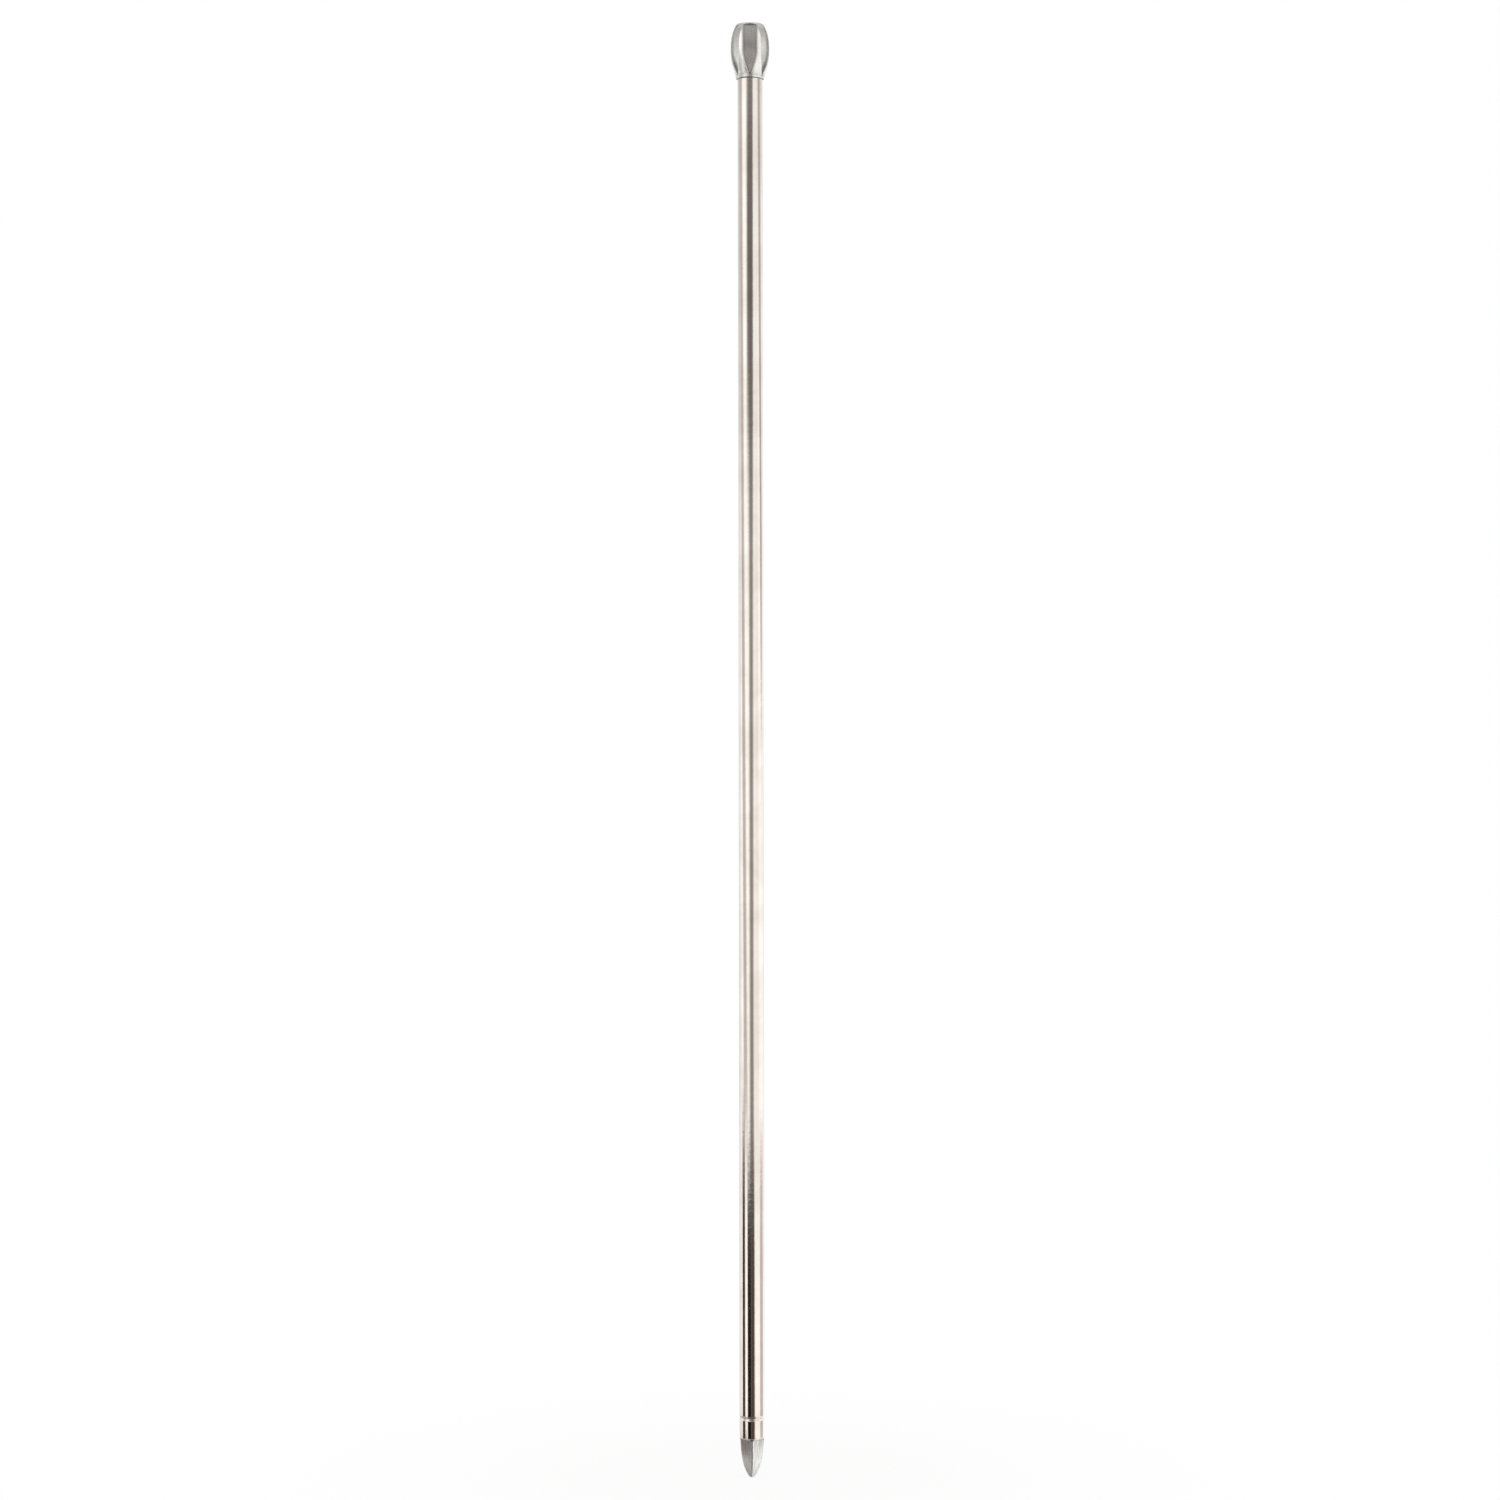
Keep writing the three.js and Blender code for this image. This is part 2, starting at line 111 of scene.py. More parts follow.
# %% Outlines
def rounded(corners, radius, steps=5):
    """An open outline with each corner cut back by `radius` and joined by a small parabola.

    Along each corner the parabola is (1-s)^2 A + 2 s (1-s) P + s^2 C, where P is the corner and A
    and C lie on its two sides, `radius` away or 0.45 of the side where the side is short.
    """
    corners = np.asarray(corners, float)
    before, here, after = corners[:-2], corners[1:-1], corners[2:]

    def cut_back(other):
        side = other - here
        length = np.linalg.norm(side, axis=1, keepdims=True)
        return here + side / length * np.minimum(radius, 0.45 * length)

    first, last = cut_back(before)[:, None], cut_back(after)[:, None]
    s = np.linspace(0, 1, steps)[None, :, None]
    arcs = (1 - s) ** 2 * first + 2 * s * (1 - s) * here[:, None] + s**2 * last
    return np.concatenate([corners[:1], arcs.reshape(-1, 2), corners[-1:]])


def spin(outline, columns=256):
    """Turns an outline of (radius, height) about the axis: x = r cos a, y = r sin a, z = h."""
    angle = np.linspace(0, 2 * np.pi, columns, endpoint=False)
    radius, height = outline[:, 0, None], outline[:, 1, None]
    return np.stack([radius * np.cos(angle), radius * np.sin(angle), height + 0 * angle], -1)


print("A rounded corner has", len(rounded([[0, 0], [1, 0], [1, 1]], 0.2)) - 2, "points")

# %% [markdown]
# ## The two tubes
#
# Bank stick tubes are drawn steel, cut to length, with the ends broken. A narrow wheel then rolls a
# groove into the tube over the spigot of a casting, and the wall that it pushes in grips the
# casting without a screw. The groove's section is one wave of a cosine, the same inside as outside.

# %% Tubes with rolled grooves
OUTER_DIAMETER, INNER_DIAMETER, TUBE_WALL, TUBE_EDGE = 12.7, 9.0, 0.8, 0.15
OUTER_LOW, OUTER_HIGH, INNER_LOW, INNER_HIGH = 20.8, 721.8, 93.4, 721.85
ROLL_DEPTH, ROLL_WIDTH, ROLL_HEIGHT = 0.3, 2.6, 10.3
# The first two place the painted shade under the groove's upper edge.
GROOVE_SHADE_RISE, GROOVE_SHADE_SPREAD, OUTER_SKIN = 0.45, 0.5, 0.5


def rolled_line(radius, low, high, rolls, steps=17):
    """Points up a wall: radius - depth (1 + cos(2 pi t)) / 2, with t from -1/2 to 1/2 at a roll."""
    parts = [[[radius, low]]]
    for roll in rolls:
        t = np.linspace(-0.5, 0.5, steps)
        dip = ROLL_DEPTH * (1 + np.cos(2 * np.pi * t)) / 2
        parts.append(np.stack([radius - dip, roll + t * ROLL_WIDTH], -1))
    parts.append([[radius, high]])
    return np.concatenate(parts)


def tube(diameter, low, high, rolls):
    """The closed section of a drawn tube, spun, with its end corners rounded.

    Painted shade lies under the groove's upper edge, on the outside only: exp(-((z - roll - rise) /
    spread)^2).
    """
    outside = rolled_line(diameter / 2, low, high, rolls)
    inside = rolled_line(diameter / 2 - TUBE_WALL, low, high, rolls)[::-1]
    middle = np.array([[diameter / 2 - TUBE_WALL / 2, low]])
    section = rounded(np.concatenate([middle, outside, inside, middle]), TUBE_EDGE)
    groove_shade = np.exp(-(((section[:, 1] - rolls[0] - GROOVE_SHADE_RISE) / GROOVE_SHADE_SPREAD) ** 2))
    return spin(section), np.where(section[:, 0] > diameter / 2 - OUTER_SKIN, groove_shade, 0)[:, None]


outer_rolls = [OUTER_LOW + ROLL_HEIGHT]
inner_rolls = [INNER_LOW + ROLL_HEIGHT, INNER_HIGH - ROLL_HEIGHT]
outer_tube = add_surface(
    "outer_tube_surface", [tube(OUTER_DIAMETER, OUTER_LOW, OUTER_HIGH, outer_rolls)],
    "outer", "outer_tube",
)
inner_tube = add_surface(
    "inner_tube_surface", [tube(INNER_DIAMETER, INNER_LOW, INNER_HIGH, inner_rolls)],
    "inner", "inner_tube",
)
print("Tubes:", len(outer_tube.data.polygons), "and", len(inner_tube.data.polygons), "faces")

# %% [markdown]
# ## The cast head
#
# The head is a barrel with six leaf-shaped hollows for the fingers. Two outlines rule it: the
# barrel, and the floor of a hollow, which follows the barrel about 2 mm deeper in. Both are drawn
# with cubic curves, as a pattern maker would sweep them, and read off at any height.

# %% Curves of the head
HEAD_BASE, HEAD_HEIGHT, HEAD_RADIUS, HEAD_WIDEST = 722.0, 28, 10.03, 15.3
LEAVES, LEAF_TIP, LEAF_SHOULDER, LEAF_TOP, LEAF_WIDTH = 6, 2.0, 14.0, 26.7, 3.5
SIDE_LEAN, END_LEAN = np.radians(16), np.radians(30)
NARROWEST, LAND_TURN = 0.12, 0.475


def bezier(points, count):
    """Points on a cubic curve: the sum of (1, 3, 3, 1) (1-s)^(3-k) s^k times control point k."""
    s = np.linspace(0, 1, count)[:, None]
    a, b, c, d = np.asarray(points, float)
    return (1 - s) ** 3 * a + 3 * s * (1 - s) ** 2 * b + 3 * s**2 * (1 - s) * c + s**3 * d


def height_line(curves, heights):
    """The radius of a chain of cubic curves of (radius, height) points at the given heights."""
    line = np.concatenate([bezier(points, 60) for points in curves])
    return np.interp(heights, line[:, 1], line[:, 0])


def soft_min(a, b, width):
    """The smaller of a and b, with the crease between them rounded over `width`."""
    mix = np.clip(0.5 + 0.5 * (b - a) / width, 0, 1)
    return b + (a - b) * mix - width * mix * (1 - mix)


barrel_curves = [
    [(7.3, 0), (7.3, 3.3), (10.03, 6.9), (HEAD_RADIUS, HEAD_WIDEST)],
    [(HEAD_RADIUS, HEAD_WIDEST), (10.03, 21.6), (8.95, 24.4), (7.15, HEAD_HEIGHT)],
]
floor_curves = [
    [(6.35, 2), (6.35, 7), (8.05, 9.7), (8.05, 16)],
    [(8.05, 16), (8.05, 20.4), (7.45, 22.6), (6.4, LEAF_TOP)],
]
print("At 14 mm the barrel's radius is", height_line(barrel_curves, 14.0).round(2))

# %% [markdown]
# ## One hollow
#
# A boolean cut would leave long thin faces and a hard rim. So the grid's columns follow the drawing
# of the hollow instead: some stay on the flat floor, some in the corner, some on the wall, some on
# the rounded rim, and the rest on the land between two hollows. Every edge is then as crisp or as
# soft as on the casting, however close the view.


# %% A hollow's measures at every height
def hollow_section(height):
    """Barrel radius, floor distance, floor half width and wall lean of a hollow at each height.

    Beyond its tip and its top the floor comes out to the barrel by beyond / tan(END_LEAN). The half
    width grows as w sin(pi s / 2) from the tip to the shoulder. It is never more than
    floor tan(LAND_TURN), so that a land stays between two hollows.
    """
    barrel = height_line(barrel_curves, height)
    floor = height_line(floor_curves, np.clip(height, LEAF_TIP, LEAF_TOP))
    beyond = np.maximum(LEAF_TIP - height, 0) + np.maximum(height - LEAF_TOP, 0)
    floor = soft_min(floor + beyond / np.tan(END_LEAN), barrel, 0.1)
    share = np.clip((height - LEAF_TIP) / (LEAF_SHOULDER - LEAF_TIP), 0, 1)
    width = np.maximum(LEAF_WIDTH * np.sin(np.pi / 2 * share), NARROWEST)
    width = np.minimum(width, floor * np.tan(LAND_TURN))
    lean = END_LEAN + (SIDE_LEAN - END_LEAN) * np.clip((height - LEAF_TIP) / 4, 0, 1)
    return barrel, floor, width, lean


print("Half width at the shoulder:", hollow_section(np.array([LEAF_SHOULDER]))[2])

# %% [markdown]
# ## One cross-section, stretch by stretch
#
# Cut across, half a hollow is a short chain: flat floor, rounded corner, drafted wall, rounded rim
# and a piece of the barrel. Points could be spaced evenly along it, but then a corner would wander
# between them. Here each stretch has its own number of points, the same at every height.

# %% Straight and curved stretches of a cross-section
FLOOR_COLUMNS, CORNER_COLUMNS, WALL_COLUMNS, RIM_COLUMNS, LAND_COLUMNS = 7, 5, 3, 7, 11
FLOOR_CUT, WALL_CUT, RIM_CUT, RIM_TURN, LOWEST_WALL = 0.25, 0.2, 0.8, 0.045, 0.04


def straight(first, last, count):
    """Points from `first` up to, but not at, `last` for each row: P = A + s (B - A)."""
    s = np.arange(count)[None, :, None] / count
    return first[:, None] + s * (last - first)[:, None]


def bend(first, middle, last, count):
    """Points on the parabola (1-s)^2 A + 2 s (1-s) B + s^2 C, up to but not at C."""
    s = np.arange(count)[None, :, None] / count
    start, turn, end = first[:, None], middle[:, None], last[:, None]
    return (1 - s) ** 2 * start + 2 * s * (1 - s) * turn + s**2 * end


def arc(radius, angle):
    """Points of a circle in the hollow's own frame: x = r sin a across, y = r cos a outwards."""
    return radius[..., None] * np.stack([np.sin(angle), np.cos(angle)], -1)


def half_hollow(height):
    """From the middle of a hollow to the middle of the next land, and the wall's depth.

    The floor ends at the corner C = (w, d). The wall leaves C in the direction u = (sin b, cos b),
    with b from END_LEAN at the tip to SIDE_LEAN above it, and meets the barrel where |C + t u| = R,
    so t = -C.u + sqrt((C.u)^2 - |C|^2 + R^2). The land is the arc from there to 180 / LEAVES
    degrees. The cuts are how far each rounding reaches, less where a stretch is short. Where the
    hollow has run out, every point is brought back to the barrel.
    """
    barrel, floor, width, lean = hollow_section(height)
    corner, middle = np.stack([width, floor], -1), np.stack([0 * width, floor], -1)
    up = np.stack([np.sin(lean), np.cos(lean)], -1)
    along = (corner * up).sum(1)
    depth = np.sqrt(np.maximum(along**2 - (corner**2).sum(1) + barrel**2, 0)) - along
    wall = np.maximum(depth, LOWEST_WALL)[:, None]
    rim = corner + wall * up
    turn = np.arctan2(rim[:, 0], rim[:, 1])[:, None] + RIM_TURN
    side = np.array([-1, 0]) * np.minimum(FLOOR_CUT, 0.4 * width)[:, None]
    foot = corner + np.minimum(0.25 * wall, WALL_CUT) * up
    brow = rim - np.minimum(0.6 * wall, RIM_CUT) * up
    along_land = (np.pi / LEAVES - turn) * np.linspace(0, 1, LAND_COLUMNS)
    land = arc(barrel[:, None], turn + along_land)
    points = np.concatenate([
        straight(middle, corner + side, FLOOR_COLUMNS),
        bend(corner + side, corner, foot, CORNER_COLUMNS),
        straight(foot, brow, WALL_COLUMNS),
        bend(brow, rim, land[:, 0], RIM_COLUMNS),
        land,
    ], axis=1)
    points *= np.minimum(1, barrel[:, None] / np.linalg.norm(points, axis=2))[..., None]
    return points, depth


print("Columns in half a hollow:", half_hollow(np.array([14.0]))[0].shape[1])

# %% [markdown]
# ## Painted shade and lighter lands on the head
#
# Painted shade lies in the corners of the hollows, most of it at their narrow tips, and a little
# along the base, and the lands are made lighter. The marks could be painted by hand on a texture.
# Because the columns follow the drawing, a few numbers along the columns and the heights put them
# exactly in the corners instead.


# %% Painted shade and lighter lands of a hollow
def hollow_light_and_tone(height, depth, columns):
    """Painted shade (positive) and lightening (negative) on half a hollow, for each height and
    column.

    The painted shade is the largest of the corner's, the lower wall's and the tip's, less where the
    wall is under 0.4 deep; a weaker painted shade runs along the base. The lightening grows from the
    rim to the land, and from 4 to 10 above the base.
    """
    column, high = np.arange(columns)[None, :], height[:, None]
    corner_shade = np.interp(column, [5.5, 7.5, 9, 11, 13], [0, 0.5, 0.95, 0.2, 0])
    wall_shade = np.interp(column, [7, 9, 14, 18], [0, 0.75, 0.75, 0])
    painted_shade = np.maximum(corner_shade, wall_shade * np.clip((12 - high) / 6, 0, 1))
    painted_shade = np.maximum(painted_shade, np.clip((2.5 - high) / 0.3, 0, 1) * (column < 15))
    base_shade = 0.25 * np.clip((2.6 - high) / 0.9, 0, 1) * np.clip((high - 0.4) / 0.4, 0, 1)
    lightened = 0.45 * np.interp(column, [18, 23], [0, 1]) * np.clip((high - 4) / 6, 0, 1)
    return np.maximum(painted_shade * np.clip(depth / 0.4, 0, 1)[:, None], base_shade) - lightened


# The largest value, at a hollow's narrow tip, is painted shade.
print("Deepest dirt at the tip:", hollow_light_and_tone(np.array([2.2]), np.array([1.0]), 33).max())

# %% [markdown]
# ## The head in one piece
#
# The head is one casting, and it is one grid here. Half a hollow is mirrored and repeated six
# times. An array modifier could repeat it, but it would leave seams to be merged, and on one grid
# the shading runs on from leaf to leaf.

# %% The head as one surface
SPIGOT_RADIUS, SPIGOT_LENGTH, BASE_ROUND = 3.55, 16.0, 0.45
RIM_HEIGHT, RIM_ROUND, SOCKET_RADIUS, SOCKET_TOP = 27.4, 0.6, 4.82, 27.3


def all_round(half, light_and_tone):
    """Mirrors half a hollow and repeats it six times: P = y e_r + x e_t, the first facing -Y."""
    whole = np.concatenate([half[:, -2:0:-1] * np.array([-1, 1]), half], axis=1)
    middle = np.arange(LEAVES) * 2 * np.pi / LEAVES - np.pi / 2
    outwards = np.stack([np.cos(middle), np.sin(middle)], -1)[:, None]
    across = np.stack([-np.sin(middle), np.cos(middle)], -1)[:, None]
    turned = whole[:, None, :, 1, None] * outwards + whole[:, None, :, 0, None] * across
    light_and_tone = np.tile(np.concatenate([light_and_tone[:, -2:0:-1], light_and_tone], axis=1), (1, LEAVES))
    return turned.reshape(len(half), -1, 2), light_and_tone


def ring_rows(angle, radius, height):
    """Rows of circles on the columns of a neighbouring row: x = r cos a, y = r sin a."""
    height = np.asarray(height, float)[:, None]
    radius, height = np.broadcast_arrays(np.asarray(radius, float), height)
    circle = [radius * np.cos(angle), radius * np.sin(angle), height]
    return np.stack(np.broadcast_arrays(*circle), -1)


side_heights = np.concatenate([
    np.linspace(BASE_ROUND, 1.1, 4), np.linspace(1.15, 2.4, 22), np.linspace(2.55, 26.3, 88),
    np.linspace(26.35, RIM_HEIGHT, 18),
])
half, wall_depth = half_hollow(side_heights)
flat, side_light_and_tone = all_round(half, hollow_light_and_tone(side_heights, wall_depth, half.shape[1]))
flat[1:-1] = (flat[:-2] + 2 * flat[1:-1] + flat[2:]) / 4
foot_angle, rim_angle = (np.arctan2(row[:, 1], row[:, 0]) for row in (flat[0], flat[-1]))
base_radius, rim_radius = float(np.hypot(*flat[0].T).max()), np.hypot(*flat[-1].T)
print("Side of the head:", flat.shape[0], "rows of", flat.shape[1], "points")

# %% [markdown]
# ## Below and above the hollows
#
# The underside is flat and sits just over the tube's mouth, and a spigot goes down from it into the
# inner tube. Above, a small rounded rim leads to the flat face and the mouth of the socket. They
# are turned forms and could be spun as pieces of their own. Rows of circles at the angles of the
# nearest row of the side make them here, so no seam is left.

# %% Underside, rim and mouth of the head
FACE_RADIUS, LIP_RADIUS, LIP_HEIGHT, UNDERSIDE_SHADE = 6.4, 5.2, 27.62, 0.1
quarter = np.linspace(0, np.pi / 2, 7)
foot_round = np.stack([
    base_radius - BASE_ROUND * (1 - np.sin(quarter)), BASE_ROUND * (1 - np.cos(quarter)),
], -1)
head_roll = INNER_HIGH - ROLL_HEIGHT - HEAD_BASE
spigot = rounded([
    [NEAR_AXIS, -SPIGOT_LENGTH], [SPIGOT_RADIUS, -SPIGOT_LENGTH],
    *rolled_line(SPIGOT_RADIUS, -SPIGOT_LENGTH, 0, [head_roll], 9)[1:-1],
    [SPIGOT_RADIUS, 0], [base_radius - BASE_ROUND, 0],
], 0.25, 4)
under = np.concatenate([spigot, foot_round[1:-1]])
top_turn = np.linspace(0, np.pi / 2, 8)[1:]
top_radius = rim_radius - RIM_ROUND * (1 - np.cos(top_turn))[:, None]
socket_lip = rounded([
    [FACE_RADIUS, HEAD_HEIGHT], [LIP_RADIUS, HEAD_HEIGHT],
    [SOCKET_RADIUS, LIP_HEIGHT], [SOCKET_RADIUS, SOCKET_TOP],
], 0.12, 4)[1:]
side = np.concatenate([
    flat, np.broadcast_to(side_heights[:, None, None], (*flat.shape[:2], 1)),
], -1)
lift = np.array([0, 0, HEAD_BASE])
head_grid = lift + np.concatenate([
    ring_rows(foot_angle, under[:, :1], under[:, 1]), side,
    ring_rows(rim_angle, top_radius, RIM_HEIGHT + RIM_ROUND * np.sin(top_turn)),
    ring_rows(rim_angle, socket_lip[:, :1], socket_lip[:, 1]),
])
# The underside gets a faint painted shade; the rim and the mouth above get none.
head_light_and_tone = np.concatenate([
    np.full((len(under), flat.shape[1]), UNDERSIDE_SHADE), side_light_and_tone,
    np.zeros((len(top_turn) + len(socket_lip), flat.shape[1])),
])
print("Whole head:", head_grid.shape[0], "rows of", head_grid.shape[1], "points")

# %% [markdown]
# ## Threads
#
# Rod rests and alarms screw into a 3/8 inch socket with 20 threads to the inch. A thread is a
# groove whose depth depends on height and angle together: going once round moves the wave up by one
# pitch. The Whitworth form has rounded crests and roots, which a softened triangle wave gives. The
# stud of the lock, deep in the tube, gets its finer thread from the same formula.

# %% A threaded wall
BORE_COLUMNS, STUD_COLUMNS, CREST_SHARPNESS = 96, 48, 3.2


def thread(major, depth, pitch, low, high, columns=BORE_COLUMNS, per_pitch=12):
    """A threaded wall: r = major - depth * wave(z / pitch - a / (2 pi)), faded at both ends.

    The wave is (1 - tanh(k (2 triangle - 1)) / tanh(k)) / 2, where k is the crest's sharpness.
    """
    rows = int((high - low) / pitch * per_pitch) + 1
    height = np.linspace(low, high, rows)[:, None]
    angle = np.linspace(0, 2 * np.pi, columns, endpoint=False)[None, :]
    phase = height / pitch - angle / (2 * np.pi)
    triangle = 2 * np.abs(phase - np.floor(phase) - 0.5)
    wave = 0.5 - 0.5 * np.tanh(CREST_SHARPNESS * (2 * triangle - 1)) / np.tanh(CREST_SHARPNESS)
    fade = np.clip(np.minimum(height - low, high - height) / pitch, 0, 1)
    radius = major - depth * wave * fade
    return np.stack([radius * np.cos(angle), radius * np.sin(angle), height + 0 * angle], -1)


# The socket's thread and the bore below it are darkened in the finish.
SOCKET_FLOOR, SOCKET_PITCH, SOCKET_DEPTH, THREAD_DARKENING, BORE_DARKENING = 14.0, 1.27, 0.66, 0.6, 0.8
socket_wall = thread(SOCKET_RADIUS, SOCKET_DEPTH, SOCKET_PITCH, SOCKET_FLOOR, SOCKET_TOP)[::-1]
drill_point = [[SOCKET_RADIUS, SOCKET_FLOOR], [4.3, 13.9], [NEAR_AXIS, 11.2]]
socket_end = spin(rounded(drill_point, 0.3), BORE_COLUMNS)
head = add_surface(
    "head_surface",
    [(head_grid, head_light_and_tone), (socket_wall + lift, THREAD_DARKENING), (socket_end + lift, BORE_DARKENING)],
    "inner", "head",
)
print("Head:", len(head.data.polygons), "faces")

# %% [markdown]
# ## The stud of the lock
#
# The stud is a short threaded rod with a plain shank that sits in the plug. It has three stretches:
# a chamfered foot, the thread and the shank. A thread modifier doesn't exist, and a Screw modifier
# would need its ends closed by hand, so the formula of the socket's thread is used again.

# %% Stud
STUD_RADIUS, STUD_LOW, STUD_HIGH = 1.98, 66.1, 102.2
STUD_PITCH, STUD_DEPTH, STUD_THREAD_LOW, STUD_THREAD_HIGH = 0.7, 0.38, 67.0, 89.5
stud_foot = [
    [NEAR_AXIS, STUD_LOW], [1.7, STUD_LOW], [STUD_RADIUS, 66.4], [STUD_RADIUS, STUD_THREAD_LOW],
]
stud_shank = [
    [STUD_RADIUS, STUD_THREAD_HIGH], [STUD_RADIUS, STUD_HIGH], [NEAR_AXIS, STUD_HIGH],
]
stud_thread = thread(
    STUD_RADIUS, STUD_DEPTH, STUD_PITCH, STUD_THREAD_LOW, STUD_THREAD_HIGH, STUD_COLUMNS, 9,
)
stud = add_surface(
    "lock_stud_surface",
    [(spin(rounded(stud_foot, 0.1), STUD_COLUMNS), 0.0), (stud_thread, 0.0),
     (spin(rounded(stud_shank, 0.1), STUD_COLUMNS), 0.0)],
    "inner", "lock_stud",
)
print("Stud:", len(stud.data.polygons), "faces")

# %% [markdown]
# ## The cast point
#
# The point is an ogive, ground to four faces so that it cuts into hard ground. Each face stops at a
# ledge under a thin round collar, which covers the end of the tube. Again the surface is a distance
# for each height and angle, the smaller of the round ogive and the nearest face.

# %% Curves of the point
POINT_LENGTH, NOSE_HEIGHT, NOSE_RADIUS = OUTER_LOW, 1.2, 1.9
POINT_RADIUS, LEDGE_HEIGHT, COLLAR_HEIGHT, FACE_SHARE = 6.2, 19.9, 20.1, 0.76
LEDGE_SLOPE, RIDGE_ROUND, NOSE_TIP = 0.35, 0.18, 0.002
ogive_curve = [(NOSE_RADIUS, NOSE_HEIGHT), (4.96, 5.61), (5.78, 12.34), (POINT_RADIUS, 20.05)]


def ogive_radius(height):
    """Radius of the round ogive: an arc of 2.1 mm at the nose, then the cubic curve."""
    round_nose = (NOSE_RADIUS**2 + NOSE_HEIGHT**2) / (2 * NOSE_HEIGHT)
    nose = np.sqrt(np.maximum(round_nose**2 - (round_nose - height) ** 2, 0))
    line = bezier(ogive_curve, 80)
    return np.where(height < NOSE_HEIGHT, nose, np.interp(height, line[:, 1], line[:, 0]))


def point_radius(height, angle):
    """Distance of the point's surface from the axis: soft_min(R, (share R + ledge) / cos a)."""
    around = ogive_radius(height)
    ledge = np.maximum(height - LEDGE_HEIGHT, 0) / LEDGE_SLOPE
    face = FACE_SHARE * np.minimum(around, POINT_RADIUS) + ledge
    return soft_min(around, face / np.cos(angle), np.minimum(RIDGE_ROUND, 0.3 * around + 0.01))


print("The ogive's radius at 10 mm is", ogive_radius(10.0).round(2))

# %% [markdown]
# ## The point in one piece
#
# The four ridges are the point's hardest edges. Columns at even angles would have to be very many
# to keep them crisp, so the columns crowd at the ridges and at the middle of each face instead.
# Above the faces they run on round the collar and the spigot that the tube is rolled onto.

# %% The point as one surface
COLLAR_TOP, SHANK_RADIUS, SHANK_FOOT, SHANK_TOP, SHANK_END = 20.77, 5.4, 21.0, 36.5, 36.8
point_heights = np.concatenate([
    NOSE_HEIGHT * np.linspace(0.0, 1, 12) ** 2, np.linspace(1.3, COLLAR_HEIGHT, 110),
])
steps = (1 - np.cos(np.pi * np.arange(16) / 16)) / 2  # columns crowd at the ridges and mid-faces
quarter_turn = np.pi / 2
around = np.concatenate([steps * 0.5, 0.5 + steps * 0.5]) * quarter_turn
around = (around[None, :] + np.arange(4)[:, None] * quarter_turn).reshape(-1)
from_face = np.abs((around % quarter_turn) - quarter_turn / 2)
radius = point_radius(point_heights[:, None], from_face[None, :])
radius[0] = NOSE_TIP
collar = rounded([
    [POINT_RADIUS, COLLAR_HEIGHT], [POINT_RADIUS, COLLAR_TOP],
    [SHANK_RADIUS, COLLAR_TOP], [SHANK_RADIUS, SHANK_FOOT],
], 0.1, 4)[1:]
shank = rolled_line(SHANK_RADIUS, SHANK_FOOT, SHANK_TOP, [POINT_LENGTH + ROLL_HEIGHT])[1:]
shank_end = rounded([
    [SHANK_RADIUS, SHANK_TOP], [5.1, SHANK_END], [NEAR_AXIS, SHANK_END],
], 0.15, 4)[1:]
rest = np.concatenate([collar, shank, shank_end])
radius = np.concatenate([radius, np.repeat(rest[:, :1], around.size, axis=1)])
height = np.concatenate([point_heights, rest[:, 1]])[:, None]
point_grid = np.stack([radius * np.cos(around), radius * np.sin(around), height + 0 * radius], -1)
print("Point:", point_grid.shape[0], "rows of", point_grid.shape[1], "points")

# %% [markdown]
# ## Painted shade and highlight on the point
#
# The tone grows darker towards the nose, a painted shadow lies under the ledge, and a painted
# highlight lies on the collar above it. Height alone says which is which here, so one formula is
# enough.

# %% Painted shade and highlight of the point
# Darker towards the nose, a painted shadow under the ledge and a painted highlight on the collar.
NOSE_DARKENING, NOSE_REACH, LEDGE_SPREAD, COLLAR_HIGHLIGHT = 0.5, 9.0, 0.25, -0.8
nose_darkening = NOSE_DARKENING * np.clip(1 - height / NOSE_REACH, 0, 1)
ledge_shadow = np.exp(-(((height - LEDGE_HEIGHT) / LEDGE_SPREAD) ** 2))
point_light_and_tone = nose_darkening + ledge_shadow + 0 * radius
point_light_and_tone[height[:, 0] > COLLAR_HEIGHT + 0.02] = COLLAR_HIGHLIGHT
point = add_surface(
    "point_surface", [(point_grid, point_light_and_tone)], "outer", "drive_point",
)
print("Point:", len(point.data.polygons), "faces")

# %% [markdown]
# ## The bush in the mouth
#
# A short bush keeps the inner tube centred in the outer one. It is moulded in black acetal, with a
# lead-in at its foot so that it can be pressed in, and it ends just below the tube's mouth.

# %% Bush
BUSH_LOW, BUSH_HIGH, BUSH_BORE, BUSH_RADIUS, BUSH_LEAD = 693.65, 721.65, 4.75, 5.4, 0.3
bush_section = np.array([
    [5.0, BUSH_LOW], [5.1, BUSH_LOW], [BUSH_RADIUS, BUSH_LOW + BUSH_LEAD], [BUSH_RADIUS, BUSH_HIGH],
    [5.05, BUSH_HIGH], [BUSH_BORE, BUSH_HIGH - BUSH_LEAD], [BUSH_BORE, BUSH_LOW], [5.0, BUSH_LOW],
])
bush = add_surface(
    "guide_bush_surface", [(spin(rounded(bush_section, 0.1)), 0.0)],
    "outer", "guide_bush",
)
print("Bush:", len(bush.data.polygons), "faces")

# %% [markdown]
# ## Finishes
#
# All finishes read the object's own coordinates, so the marks stay on the piece when it moves. They
# could be made by hand in the node editor. A few small functions add the same nodes here, so that a
# finish reads as a short list of steps.


